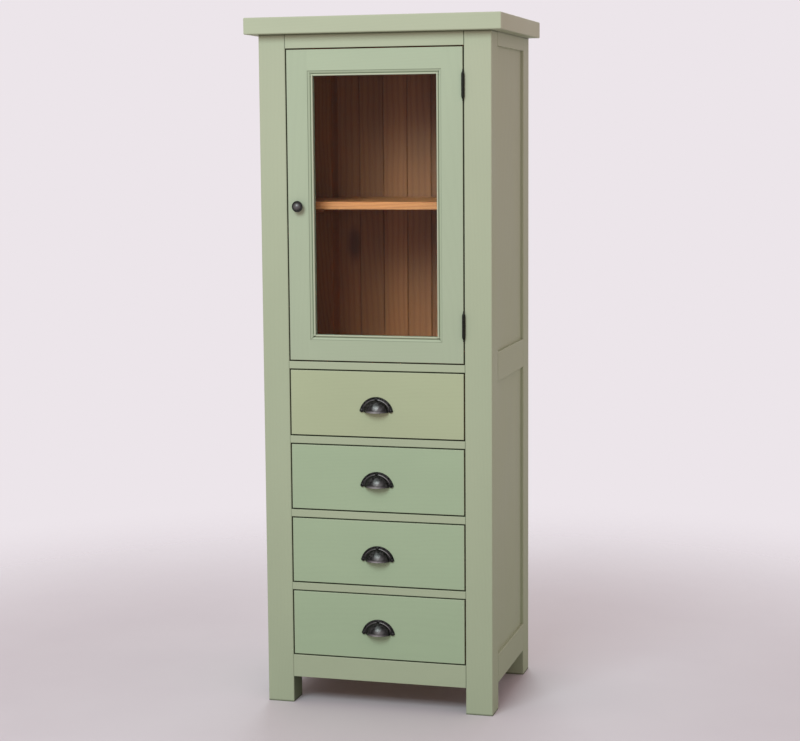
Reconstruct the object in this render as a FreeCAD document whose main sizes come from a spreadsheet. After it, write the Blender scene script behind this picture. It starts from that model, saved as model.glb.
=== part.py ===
"""Tall painted kitchen cabinet: a glazed door above four drawers.

Frame: millimetres, +Z up, +X to the right of a viewer who faces the cabinet, front towards -Y.
The origin is on the floor, under the middle of the top board.
Every cut that receives a piece (mortise, groove, socket, pilot hole) is made by that piece itself,
so neighbours keep fitting when a size changes.
"""
import FreeCAD
import Part
import Sketcher
import math
import os
import re

# Driving dimensions, each written once.
SIZES = {
    # Whole cabinet
    "total_height": 1850,
    "carcass_width": 630,
    "carcass_depth": 481,
    "top_thickness": 43.5,
    "top_side_overhang": 31.5,
    "top_front_overhang": 29,
    "top_arris": 3,
    # Posts and rails of the carcass
    "post_side": 73,
    "post_arris": 3,
    "rail_arris": 1.5,
    "leg_height": 72,
    "upright_rail_thickness": 28,
    "front_top_rail_height": 37,
    "front_bottom_rail_height": 61.5,
    "flat_rail_height": 20,
    "flat_rail_depth": 50,
    "side_middle_rail_drop": 50,
    "side_middle_rail_height": 78,
    "side_bottom_rail_height": 77,
    "tenon_length": 25,
    "tenon_thickness": 12,
    "tenon_shoulder": 8,
    "flat_tenon_shoulder": 6,
    # Side panels and back
    "panel_thickness": 12,
    "panel_recess": 8,
    "panel_tongue": 8,
    "back_thickness": 12,
    "back_rebate": 6,
    "board_tongue": 5,
    "board_tongue_thickness": 4,
    "board_bevel": 2,
    "rear_rail_thickness": 24,
    # Cupboard
    "floor_thickness": 18,
    "shelf_thickness": 20,
    "shelf_height": 1365,
    "shelf_front_gap": 2,
    "cleat_side": 20,
    "loose_fit": 0.5,
    # Door
    "reveal_gap": 3.6,
    "door_stile_width": 57,
    "door_rail_height": 55,
    "door_tenon_length": 35,
    "door_tenon_thickness": 8,
    "moulding_width": 13.5,
    "moulding_depth": 12,
    "moulding_step": 1,
    "moulding_slope_width": 6.3,
    "moulding_slope_drop": 3,
    "moulding_slope_round": 30,
    "quirk_depth": 8,
    "bead_width": 4.5,
    "bead_radius": 2.4,
    "bead_base": 4.5,
    "glass_thickness": 4,
    "glazing_bead_depth": 6,
    "glazing_bead_bevel": 3,
    # Hinges
    "hinge_height": 56,
    "hinge_from_door_end": 98.5,
    "barrel_radius": 4.2,
    "barrel_standoff": 0.3,
    "knuckle_gap": 0.3,
    "leaf_thickness": 1.7,
    "leaf_width": 18,
    "pin_radius": 2.1,
    "pin_clearance": 0.05,
    "finial_collar_height": 2,
    "finial_cone_height": 9,
    "finial_neck_radius": 1.2,
    "finial_ball_radius": 1.7,
    "hinge_screw_spacing": 20,
    "hinge_screw_depth": 11,
    "hinge_screw_head_radius": 3,
    "hinge_screw_radius": 1.5,
    "hinge_screw_length": 14,
    # Knob and catch
    "knob_from_door_edge": 30,
    "knob_base_radius": 9,
    "knob_base_height": 2.5,
    "knob_neck_radius": 5,
    "knob_neck_end": 10,
    "knob_rim_radius": 14.2,
    "knob_rim_round": 3,
    "knob_rim_start": 13,
    "knob_rim_end": 17,
    "knob_dome_foot_radius": 11.6,
    "knob_height": 24,
    "fixing_radius": 2,
    "fixing_head_radius": 4,
    "fixing_head_height": 2.6,
    "fixing_bite": 5,
    "catch_width": 14,
    "catch_length": 38,
    "catch_height": 18,
    "catch_plate_thickness": 1.5,
    "catch_air_gap": 0.3,
    # Drawers
    "drawer_opening_height": 182,
    "drawer_front_thickness": 22,
    "drawer_back_clearance": 30,
    "drawer_side_thickness": 14,
    "drawer_side_drop": 14,
    "drawer_back_thickness": 14,
    "drawer_back_inset": 12,
    "drawer_back_drop": 8,
    "drawer_bottom_thickness": 6,
    "drawer_bottom_rise": 10,
    "drawer_housing_depth": 6,
    "dovetail_lap": 7,
    "dovetail_pin": 16,
    "dovetail_flare": 3,
    "slide_clearance": 0.3,
    "runner_width": 22,
    "runner_height": 22,
    # Cup pulls
    "pull_arc_radius": 47.4,
    "pull_height": 41,
    "pull_plate_thickness": 2.5,
    "pull_step_width": 6,
    "pull_step_height": 2,
    "pull_cup_radius": 33,
    "pull_cup_projection": 24,
    "pull_collar": 3,
    "pull_shoulder_radius": 12,
    "pull_wall": 2.4,
    "pull_boss_radius": 5.5,
    "pull_boss_height": 6,
    "pull_boss_half_spacing": 40,
    "pull_boss_rise": 5,
    "pull_plate_lift": 2.5,
    "pull_pip_radius": 2.2,
    "pull_pip_height": 5,
    "pull_arris": 0.8,
    # How far a cutting tool runs past what it cuts
    "overrun": 2,
}

# Dimensions worked out from the driving ones.
WORKED = {
    "half_width": "carcass_width / 2",
    "post_inner": "half_width - post_side",
    "opening_width": "2 * post_inner",
    "back_plane": "(carcass_depth + top_front_overhang) / 2",
    "face_plane": "back_plane - carcass_depth",
    "front_post_back": "face_plane + post_side",
    "rear_post_front": "back_plane - post_side",
    "side_opening": "rear_post_front - front_post_back",
    "carcass_height": "total_height - top_thickness",
    "back_face": "back_plane - back_thickness",
    "side_face": "half_width - upright_rail_thickness",
    "panel_face": "half_width - panel_recess - panel_thickness",
    "drawer_pitch": "drawer_opening_height + flat_rail_height",
    "drawer_base": "leg_height + front_bottom_rail_height",
    "top_rail_base": "carcass_height - front_top_rail_height",
    "side_bottom_rail_top": "leg_height + side_bottom_rail_height",
    "back_board_width": "(opening_width + 2 * back_rebate) / board_count",
    "rear_rail_face": "back_face - rear_rail_thickness",
    "cupboard_base": "drawer_base + drawer_count * drawer_pitch",
    "side_middle_rail_base": "cupboard_base - side_middle_rail_drop",
    "side_middle_rail_top": "side_middle_rail_base + side_middle_rail_height",
    "door_edge": "post_inner - reveal_gap",
    "door_bottom": "cupboard_base + reveal_gap",
    "door_top": "top_rail_base - reveal_gap",
    "door_middle": "(door_bottom + door_top) / 2",
    "door_thickness": "moulding_depth + glass_thickness + glazing_bead_depth",
    "door_back": "face_plane + door_thickness",
    "light_edge": "door_edge - door_stile_width",
    "light_bottom": "door_bottom + door_rail_height",
    "light_top": "door_top - door_rail_height",
    "light_height": "light_top - light_bottom",
    "hinge_axis_x": "post_inner - reveal_gap / 2",
    "hinge_axis_y": "face_plane - barrel_radius - barrel_standoff",
    "knuckle_pitch": "hinge_height / knuckle_count",
    "knob_x": "knob_from_door_edge - door_edge",
    "knob_dome_rise": "knob_height - knob_rim_end",
    "knob_dome_radius": "(knob_dome_foot_radius ^ 2 + knob_dome_rise ^ 2) / (2 * knob_dome_rise)",
    "drawer_front_height": "drawer_opening_height - 2 * reveal_gap",
    "drawer_side_height": "drawer_front_height - drawer_side_drop",
    "drawer_inner": "door_edge - drawer_side_thickness",
    "drawer_front_back": "face_plane + drawer_front_thickness",
    "drawer_end": "rear_rail_face - drawer_back_clearance",
    "drawer_back_end": "drawer_end - drawer_back_inset",
    "dovetail_end": "face_plane + dovetail_lap",
    "dovetail_pitch": "drawer_side_height / dovetail_count",
    "flat_rail_back": "face_plane + flat_rail_depth",
    "pull_bulge": "pull_cup_projection - pull_collar - pull_shoulder_radius",
    "pull_inset": "pull_cup_radius - pull_shoulder_radius",
    "pull_turn_radius": "(pull_inset^2 + pull_bulge^2) / (2 * pull_bulge)",
    "pull_crown_radius": "pull_turn_radius + pull_shoulder_radius",
}

# How many of each repeated piece there are.
COUNTS = {
    "drawer_count": 4,
    "board_count": 7,
    "knuckle_count": 5,
    "dovetail_count": 3,
}

doc = FreeCAD.newDocument("kitchen_cabinet")


def linked(formula, home=""):
    """A formula in plain names, with each name pointed at the sheet that holds it."""
    def point(match):
        name = match.group()
        sheet = "Worked" if name in WORKED else "Sizes"
        return name if sheet == home else f"{sheet}.{name}"
    return re.sub(r"[a-z][a-z_]+", point, formula)


def fill_sheet(name, rows):
    """A sheet of named cells, one row for each value."""
    sheet = doc.addObject("Spreadsheet::Sheet", name)
    for row, (alias, content) in enumerate(rows.items(), start=1):
        sheet.set(f"A{row}", alias)
        sheet.set(f"B{row}", content)
        sheet.setAlias(f"B{row}", alias)
    return sheet


fill_sheet("Sizes", {name: str(number) for name, number in {**SIZES, **COUNTS}.items()})
fill_sheet("Worked", {name: "=" + linked(formula, "Worked") for name, formula in WORKED.items()})
slate = doc.addObject("Spreadsheet::Sheet", "Slate")
doc.recompute()


def value(formula):
    """What a formula comes to at the present sizes."""
    slate.set("A1", "=" + linked(formula))
    slate.recompute()
    return float(slate.get("A1"))


def bind(thing, formulas):
    """Tie properties to formulas."""
    for prop, formula in formulas.items():
        thing.setExpression(prop, linked(formula))


def place(thing, corner):
    """Tie a position to three formulas."""
    bind(thing, {f"Placement.Base.{axis}": formula for axis, formula in zip("xyz", corner)})


def new_body(name):
    return doc.addObject("PartDesign::Body", name)


def block(body, name, size, corner, kind="Additive"):
    """A box feature from its three sizes and its lowest corner."""
    feature = body.newObject(f"PartDesign::{kind}Box", name)
    bind(feature, dict(zip(("Length", "Width", "Height"), size)))
    place(feature, corner)
    return feature


# Directions in which a round feature can point.
TURNS = {
    "z": FreeCAD.Rotation(),
    "-y": FreeCAD.Rotation(FreeCAD.Vector(1, 0, 0), 90),
    "x": FreeCAD.Rotation(FreeCAD.Vector(0, 1, 0), 90),
    "-x": FreeCAD.Rotation(FreeCAD.Vector(0, 1, 0), -90),
    "-z": FreeCAD.Rotation(FreeCAD.Vector(1, 0, 0), 180),
}


def round_feature(body, name, shape, sizes, start, turn="z", kind="Additive"):
    """A cylinder, cone or sphere feature that starts at a point and points one way."""
    feature = body.newObject(f"PartDesign::{kind}{shape}", name)
    feature.Placement = FreeCAD.Placement(FreeCAD.Vector(), TURNS[turn])
    bind(feature, sizes)
    place(feature, start)
    return feature


def edges_at(feature, corners):
    """Names of the edges that lie on both sides named by each corner, such as '-y+x'."""
    box = feature.Shape.BoundBox
    near = box.DiagonalLength * 1e-9
    ends = {"-x": box.XMin, "+x": box.XMax, "-y": box.YMin, "+y": box.YMax, "-z": box.ZMin, "+z": box.ZMax}
    names = []
    for number, edge in enumerate(feature.Shape.Edges, start=1):
        span = edge.BoundBox
        limits = {"x": (span.XMin, span.XMax), "y": (span.YMin, span.YMax), "z": (span.ZMin, span.ZMax)}
        for corner in corners:
            sides = (corner[:2], corner[2:])
            if all(abs(limit - ends[side]) < near for side in sides for limit in limits[side[1]]):
                names.append(f"Edge{number}")
    return names


def ease(body, corners, radius):
    """Round the edges of the body's last feature at the named corners."""
    doc.recompute()
    base = body.Tip
    fillet = body.newObject("PartDesign::Fillet", body.Name + "_arris")
    fillet.Base = (base, edges_at(base, corners))
    bind(fillet, {"Radius": radius})
    return fillet


UPRIGHT_CORNERS = ("-x-y", "-x+y", "+x-y", "+x+y")
FRONT_CORNERS = ("-y-x", "-y+x", "-y-z", "-y+z")
ALL_CORNERS = UPRIGHT_CORNERS + ("-y-z", "-y+z", "+y-z", "+y+z", "-x-z", "-x+z", "+x-z", "+x+z")


def board(name, size, corner, eased=(), arris="rail_arris"):
    """A sawn board with some of its edges eased."""
    body = new_body(name)
    block(body, name + "_blank", size, corner)
    if eased:
        ease(body, eased, arris)
    return body


def rail(name, run, size, corner, shoulders, eased=()):
    """A board with a tenon at both ends; shoulders give the step at each side across the run."""
    body = board(name, size, corner, eased)
    length = "door_tenon_length" if name.startswith("door") else "tenon_length"
    tenon_size = []
    tenon_corner = []
    for axis in range(3):
        low, high = (f"-{length}", f"-{length}") if axis == run else shoulders[axis]
        tenon_size.append(f"{size[axis]} - ({low}) - ({high})")
        tenon_corner.append(f"{corner[axis]} + ({low})")
    block(body, name + "_tenons", tenon_size, tenon_corner)
    return body


def group(name, pieces):
    """Separate solids under one name."""
    bundle = doc.addObject("Part::Compound", name)
    bundle.Links = pieces
    return bundle


def received(name, piece, entering):
    """A piece with the recess of everything that enters it."""
    cut = doc.addObject("Part::Cut", name)
    cut.Base = piece
    cut.Tool = entering[0] if len(entering) == 1 else group(name + "_entering", entering)
    return cut


def mirrored(name, piece, normal=(1, 0, 0), height="0"):
    """The same piece on the other side of a plane."""
    twin = doc.addObject("Part::Mirroring", name)
    twin.Source = piece
    twin.Normal = FreeCAD.Vector(*normal)
    twin.setExpression("Base.z", linked(height))
    return twin


PLANES = {"xy": "XY_Plane", "xz": "XZ_Plane", "yz": "YZ_Plane"}


def outline(body, name, plane, loops, offset="0"):
    """A sketch of closed loops on one of the body's own planes.

    Each corner is a pair of formulas; a third entry makes the side that starts there an arc of that
    radius, with its centre to the left of the way round, or to the right if a fourth entry says so.
    """
    sketch = body.newObject("Sketcher::SketchObject", name)
    support = [item for item in body.Origin.OriginFeatures if item.Role == PLANES[plane]]
    sketch.AttachmentSupport = [(support[0], "")]
    sketch.MapMode = "FlatFace"
    bind(sketch, {"AttachmentOffset.Base.z": offset})
    for corners in loops:
        points = [FreeCAD.Vector(value(corner[0]), value(corner[1]), 0) for corner in corners]
        sides = []
        for number, corner in enumerate(corners):
            start = points[number]
            end = points[(number + 1) % len(points)]
            if len(corner) == 2:
                sides.append((sketch.addGeometry(Part.LineSegment(start, end)), 1, 2))
                continue
            radius = value(corner[2])
            left = len(corner) == 3
            chord = end - start
            reach = math.sqrt(max(radius ** 2 - (chord.Length / 2) ** 2, 0))
            across = FreeCAD.Vector(-chord.y, chord.x, 0).normalize() * (reach if left else -reach)
            centre = (start + end) / 2 + across
            first, last = (start, end) if left else (end, start)
            angles = [math.atan2(point.y - centre.y, point.x - centre.x) for point in (first, last)]
            circle = Part.Circle(centre, FreeCAD.Vector(0, 0, 1), radius)
            side = sketch.addGeometry(Part.ArcOfCircle(circle, *angles))
            sides.append((side, 1, 2) if left else (side, 2, 1))
            held = sketch.addConstraint(Sketcher.Constraint("Radius", side, radius))
            bind(sketch, {f"Constraints[{held}]": corner[2]})
        for number, corner in enumerate(corners):
            before, at_end = sides[number - 1][0], sides[number - 1][2]
            here, at_start = sides[number][0], sides[number][1]
            sketch.addConstraint(Sketcher.Constraint("Coincident", before, at_end, here, at_start))
            for kind, formula in (("DistanceX", corner[0]), ("DistanceY", corner[1])):
                limit = Sketcher.Constraint(kind, -1, 1, here, at_start, value(formula))
                bind(sketch, {f"Constraints[{sketch.addConstraint(limit)}]": formula})
    return sketch


def pad(body, name, sketch, length, both_ways=False):
    feature = body.newObject("PartDesign::Pad", name)
    feature.Profile = sketch
    feature.Midplane = both_ways
    bind(feature, {"Length": length})
    return feature


def cut_through(body, name, sketch):
    """Cut a sketch through the whole body, both ways."""
    feature = body.newObject("PartDesign::Pocket", name)
    feature.Profile = sketch
    feature.Type = "ThroughAll"
    feature.Midplane = True
    return feature


nodes = {}


def keep(piece, name):
    """Name a finished piece; its name is also its file's name."""
    piece.Label = name
    nodes[name] = piece
    return piece


# Rails of the carcass front: two upright ones, and the flat ones under the door and between drawers.
NO_SHOULDER = ("0", "0")
UPRIGHT_STEP = ("tenon_shoulder", "upright_rail_thickness - tenon_shoulder - tenon_thickness")
HEIGHT_STEP = ("tenon_shoulder", "tenon_shoulder")
FLAT_STEP = ("flat_tenon_shoulder", "flat_tenon_shoulder")
LONG_FRONT_CORNERS = ("-y-z", "-y+z")


def front_rail(name, base, height):
    size = ("opening_width", "upright_rail_thickness", height)
    corner = ("-post_inner", "face_plane", base)
    return rail(name, 0, size, corner, (NO_SHOULDER, UPRIGHT_STEP, HEIGHT_STEP), LONG_FRONT_CORNERS)


front_top_rail = keep(front_rail("front_top", "top_rail_base", "front_top_rail_height"), "front_top_rail")
front_bottom_rail = front_rail("front_bottom", "leg_height", "front_bottom_rail_height")
keep(front_bottom_rail, "front_bottom_rail")

flat_rails = []
for level in range(1, COUNTS["drawer_count"] + 1):
    flat_rails.append(rail(
        f"flat_rail_{level}", 0,
        ("opening_width", "flat_rail_depth", "flat_rail_height"),
        ("-post_inner", "face_plane", f"drawer_base + {level} * drawer_pitch - flat_rail_height"),
        (NO_SHOULDER, HEIGHT_STEP, FLAT_STEP), LONG_FRONT_CORNERS))
keep(group("drawer_rails", flat_rails), "front_drawer_rails")

# Side frames: three rails and two flat panels on each side, modelled on the right and mirrored.
SIDE_STEP = ("upright_rail_thickness - panel_recess - panel_thickness", "panel_recess")


def side_rail(name, base, height, eased):
    size = ("upright_rail_thickness", "side_opening", height)
    corner = ("side_face", "front_post_back", base)
    return rail(name, 1, size, corner, (SIDE_STEP, NO_SHOULDER, HEIGHT_STEP), eased)


def side_panel(name, low, high):
    size = ("panel_thickness", "side_opening + 2 * panel_tongue", f"{high} - ({low}) + 2 * panel_tongue")
    corner = ("panel_face", "front_post_back - panel_tongue", f"{low} - panel_tongue")
    return board(name, size, corner)


upper_panel = side_panel("upper_panel", "side_middle_rail_top", "top_rail_base")
lower_panel = side_panel("lower_panel", "side_bottom_rail_top", "side_middle_rail_base")
BOTH_EDGES = ("+x-z", "+x+z")
side_rails = {
    "top": side_rail("side_top", "top_rail_base", "front_top_rail_height", ("+x-z",)),
    "middle": side_rail("side_middle", "side_middle_rail_base", "side_middle_rail_height", BOTH_EDGES),
    "bottom": side_rail("side_bottom", "leg_height", "side_bottom_rail_height", BOTH_EDGES),
}
side_pieces = list(side_rails.values()) + [upper_panel, lower_panel]
for place_name, piece in side_rails.items():
    right = received(f"side_{place_name}_grooved", piece, [upper_panel, lower_panel])
    left = mirrored(f"side_{place_name}_left", right)
    keep(group(f"side_{place_name}_pair", [left, right]), f"side_{place_name}_rails")
for place_name, piece in (("upper", upper_panel), ("lower", lower_panel)):
    left = mirrored(f"{place_name}_panel_left", piece)
    keep(group(f"{place_name}_panel_pair", [left, piece]), f"side_{place_name}_panels")

# Back: tongued vertical boards in a rebate of the rear posts, fixed to three rear rails.
rear_rails = []
REAR_STEP = ("tenon_shoulder", "rear_rail_thickness - tenon_shoulder - tenon_thickness")
REAR_BASES = ("top_rail_base", "cupboard_base - floor_thickness - front_top_rail_height", "leg_height")
for level, base in enumerate(REAR_BASES):
    rear_rails.append(rail(
        f"rear_rail_{level}", 0,
        ("opening_width", "rear_rail_thickness", "front_top_rail_height"),
        ("-post_inner", "rear_rail_face", base),
        (NO_SHOULDER, REAR_STEP, HEIGHT_STEP)))
keep(group("rear_rail_set", rear_rails), "rear_rails")


def back_board(number):
    """One upright board: bevelled inner arrises, a groove on the left, a tongue on the right."""
    left = f"{number} * back_board_width - post_inner - back_rebate"
    right = f"{left} + back_board_width"
    tongue_front = "back_face + (back_thickness - board_tongue_thickness) / 2"
    tongue_back = f"{tongue_front} + board_tongue_thickness"
    first = number == 0
    last = number == COUNTS["board_count"] - 1
    corners = [(left, "back_plane")]
    if not first:
        corners += [(left, tongue_back), (f"{left} + board_tongue", tongue_back)]
        corners += [(f"{left} + board_tongue", tongue_front), (left, tongue_front)]
    corners += [(left, "back_face + board_bevel"), (f"{left} + board_bevel", "back_face")]
    corners += [(f"{right} - board_bevel", "back_face"), (right, "back_face + board_bevel")]
    if not last:
        corners += [(right, tongue_front), (f"{right} + board_tongue", tongue_front)]
        corners += [(f"{right} + board_tongue", tongue_back), (right, tongue_back)]
    corners += [(right, "back_plane")]
    body = new_body(f"back_board_{number}")
    sketch = outline(body, f"back_board_{number}_section", "xy", [corners], "leg_height")
    pad(body, f"back_board_{number}_length", sketch, "carcass_height - leg_height")
    return body


all_boards = [back_board(number) for number in range(COUNTS["board_count"])]
back_boards = keep(group("back", all_boards), "back_boards")

# Hinges: two five-knuckle butt hinges in the gap at the right of the door, with finialled pins.
HINGE_MIDDLES = ("door_top - hinge_from_door_end", "door_bottom + hinge_from_door_end")


def hinge_leaf(name, middle, plate_x, knuckles):
    """A plate in the gap, joined to its own knuckles, all bored for the pin."""
    body = new_body(name)
    foot = f"{middle} - hinge_height / 2"
    plate_size = ("leaf_thickness", "leaf_width", "hinge_height")
    block(body, name + "_plate", plate_size, (plate_x, "face_plane", foot))
    for knuckle in knuckles:
        low = f"{foot} + {knuckle} * knuckle_pitch + knuckle_gap / 2"
        high = "knuckle_pitch - knuckle_gap"
        reach = "face_plane - hinge_axis_y"
        web_size = ("leaf_thickness", reach, high)
        block(body, f"{name}_web_{knuckle}", web_size, (plate_x, "hinge_axis_y", low))
        round_feature(body, f"{name}_knuckle_{knuckle}", "Cylinder",
                      {"Radius": "barrel_radius", "Height": high}, ("hinge_axis_x", "hinge_axis_y", low))
    round_feature(body, name + "_bore", "Cylinder",
                  {"Radius": "pin_radius + pin_clearance", "Height": "hinge_height + 2 * overrun"},
                  ("hinge_axis_x", "hinge_axis_y", f"{foot} - overrun"), kind="Subtractive")
    return body


def hinge_screws(name, middle, plate_face, turn):
    """Three countersunk screws of one leaf, heads flush with the leaf."""
    along = "-" if turn == "-x" else "+"
    screws = []
    for number in (-1, 0, 1):
        body = new_body(f"{name}_{number + 1}")
        start = ("face_plane + hinge_screw_depth", f"{middle} + {number} * hinge_screw_spacing")
        round_feature(body, f"{name}_head_{number + 1}", "Cone",
                      {"Radius1": "hinge_screw_head_radius", "Radius2": "hinge_screw_radius",
                       "Height": "leaf_thickness"}, (plate_face, *start), turn)
        round_feature(body, f"{name}_shank_{number + 1}", "Cylinder",
                      {"Radius": "hinge_screw_radius", "Height": "hinge_screw_length"},
                      (f"{plate_face} {along} leaf_thickness", *start), turn)
        screws.append(body)
    return screws


def hinge_pin(name, middle):
    """A pin with a turned finial at each end."""
    body = new_body(name)
    foot = f"{middle} - hinge_height / 2"
    axis = ("hinge_axis_x", "hinge_axis_y")
    rod = {"Radius": "pin_radius", "Height": "hinge_height"}
    round_feature(body, name + "_rod", "Cylinder", rod, (*axis, foot))
    for end, turn, sign in ((f"{middle} + hinge_height / 2", "z", "+"), (foot, "-z", "-")):
        collar = f"{end} {sign} finial_collar_height"
        tip = f"{collar} {sign} finial_cone_height"
        round_feature(body, f"{name}_collar_{turn}", "Cylinder",
                      {"Radius": "barrel_radius", "Height": "finial_collar_height"}, (*axis, end), turn)
        round_feature(body, f"{name}_cone_{turn}", "Cone",
                      {"Radius1": "barrel_radius", "Radius2": "finial_neck_radius",
                       "Height": "finial_cone_height"}, (*axis, collar), turn)
        ball = {"Radius": "finial_ball_radius"}
        round_feature(body, f"{name}_ball_{turn}", "Sphere", ball, (*axis, tip), turn)
    return body


post_leaves = []
door_leaves = []
post_screws = []
door_screws = []
hinge_pins = []
for number, middle in enumerate(HINGE_MIDDLES):
    own_post_screws = hinge_screws(f"post_screw_{number}", middle, "post_inner - leaf_thickness", "x")
    own_door_screws = hinge_screws(f"door_screw_{number}", middle, "door_edge + leaf_thickness", "-x")
    post_plate = hinge_leaf(f"post_leaf_{number}", middle, "post_inner - leaf_thickness", (0, 2, 4))
    door_plate = hinge_leaf(f"door_leaf_{number}", middle, "door_edge", (1, 3))
    post_leaves.append(received(f"post_leaf_{number}_sunk", post_plate, own_post_screws))
    door_leaves.append(received(f"door_leaf_{number}_sunk", door_plate, own_door_screws))
    post_screws += own_post_screws
    door_screws += own_door_screws
    hinge_pins.append(hinge_pin(f"hinge_pin_{number}", middle))
keep(group("post_leaf_pair", post_leaves), "hinge_post_leaves")
keep(group("door_leaf_pair", door_leaves), "hinge_door_leaves")
keep(group("post_screw_set", post_screws), "hinge_post_screws")
keep(group("door_screw_set", door_screws), "hinge_door_screws")
keep(group("hinge_pin_pair", hinge_pins), "hinge_pins")

# Corner posts, mortised and grooved by what enters them, and the top board that rests on them.
POST_SIZE = ("post_side", "post_side", "carcass_height")
front_foot = ("post_inner", "face_plane", "0")
rear_foot = ("post_inner", "rear_post_front", "0")
front_post = board("front_post", POST_SIZE, front_foot, UPRIGHT_CORNERS, "post_arris")
rear_post = board("rear_post", POST_SIZE, rear_foot, UPRIGHT_CORNERS, "post_arris")
front_entering = [front_top_rail, front_bottom_rail] + flat_rails + side_pieces
front_right = received("front_right", front_post, front_entering)
rear_right = received("rear_right", rear_post, rear_rails + side_pieces + [back_boards])
keep(mirrored("front_left", front_right), "post_front_left")
keep(received("front_right_pilot", front_right, post_screws), "post_front_right")
keep(mirrored("rear_left", rear_right), "post_rear_left")
keep(rear_right, "post_rear_right")

TOP_SIZE = ("carcass_width + 2 * top_side_overhang", "carcass_depth + top_front_overhang", "top_thickness")
top_corner = ("-half_width - top_side_overhang", "face_plane - top_front_overhang", "carcass_height")
keep(board("top", TOP_SIZE, top_corner, ALL_CORNERS, "top_arris"), "top_board")


# Cupboard floor and shelf, notched round the posts and carried by cleats between them.
def notched_board(name, thickness, front, top, ends):
    """A board between the side frames, cut away round the posts at the named ends."""
    half = "side_face - loose_fit"
    base = f"{top} - {thickness}"
    size = (f"2 * ({half})", f"back_face - loose_fit - ({front})", thickness)
    body = board(name, size, (f"-({half})", front, base))
    spans = {"front": (f"{front} - overrun", "front_post_back + loose_fit"),
             "rear": ("rear_post_front - loose_fit", "back_plane")}
    for end in ends:
        low, high = spans[end]
        size = ("post_side + loose_fit", f"{high} - ({low})", f"{thickness} + 2 * overrun")
        for side, x in (("left", "-half_width"), ("right", "post_inner - loose_fit")):
            block(body, f"{name}_{end}_{side}", size, (x, low, f"{base} - overrun"), "Subtractive")
    return body


floor = notched_board("floor", "floor_thickness", "flat_rail_back", "cupboard_base", ("front", "rear"))
keep(floor, "cupboard_floor")
SHELF_FRONT = "front_post_back + shelf_front_gap"
keep(notched_board("shelf_board", "shelf_thickness", SHELF_FRONT, "shelf_height", ("rear",)), "shelf")

cleats = []
for level, top in enumerate(("cupboard_base - floor_thickness", "shelf_height - shelf_thickness")):
    right = board(f"cleat_{level}", ("cleat_side", "side_opening", "cleat_side"),
                  ("side_face - cleat_side", "front_post_back", f"{top} - cleat_side"))
    cleats += [mirrored(f"cleat_{level}_left", right), right]
keep(group("cleat_set", cleats), "shelf_cleats")

# Drawer runners, fixed to the inner faces of the posts.
runners = []
for level in range(COUNTS["drawer_count"]):
    top = f"drawer_base + {level} * drawer_pitch + reveal_gap - slide_clearance"
    right = board(f"runner_{level}",
                  ("runner_width", "rear_rail_face - flat_rail_back", "runner_height"),
                  ("post_inner - runner_width", "flat_rail_back", f"{top} - runner_height"))
    runners += [mirrored(f"runner_{level}_left", right), right]
keep(group("runner_set", runners), "drawer_runners")

# Door frame: stiles take the full height, rails are tenoned between them.
DOOR_STEP = ("(door_thickness - door_tenon_thickness) / 2",) * 2


def door_rail(name, base, edge):
    size = ("2 * light_edge", "door_thickness", "door_rail_height")
    corner = ("-light_edge", "face_plane", base)
    return rail(name, 0, size, corner, (NO_SHOULDER, DOOR_STEP, HEIGHT_STEP), (edge,))


def fixing_screw(name, x, z, back, bite):
    """A pan-headed screw put in from behind and forward into the fitting."""
    body = new_body(name)
    round_feature(body, name + "_head", "Cylinder",
                  {"Radius": "fixing_head_radius", "Height": "fixing_head_height"},
                  (x, f"{back} + fixing_head_height", z), "-y")
    round_feature(body, name + "_shank", "Cylinder",
                  {"Radius": "fixing_radius", "Height": f"{back} - face_plane + {bite}"}, (x, back, z), "-y")
    return body


door_top_rail = keep(door_rail("door_top_piece", "light_top", "-y+z"), "door_top_rail")
door_bottom_rail = keep(door_rail("door_bottom_piece", "door_bottom", "-y-z"), "door_bottom_rail")
STILE_SIZE = ("door_stile_width", "door_thickness", "door_top - door_bottom")
hinge_foot = ("light_edge", "face_plane", "door_bottom")
knob_foot = ("-door_edge", "face_plane", "door_bottom")
hinge_stile = board("hinge_stile", STILE_SIZE, hinge_foot, ("-y+x", "-y-z", "-y+z"))
knob_stile = board("knob_stile", STILE_SIZE, knob_foot, ("-y-x", "-y-z", "-y+z"))
knob_screw = fixing_screw("knob_screw", "knob_x", "door_middle", "door_back", "knob_neck_end")
keep(knob_screw, "door_knob_screw")
door_rails = [door_top_rail, door_bottom_rail]
keep(received("hinge_stile_cut", hinge_stile, door_rails + door_screws), "door_hinge_stile")
keep(received("knob_stile_cut", knob_stile, door_rails + [knob_screw]), "door_knob_stile")


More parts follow.
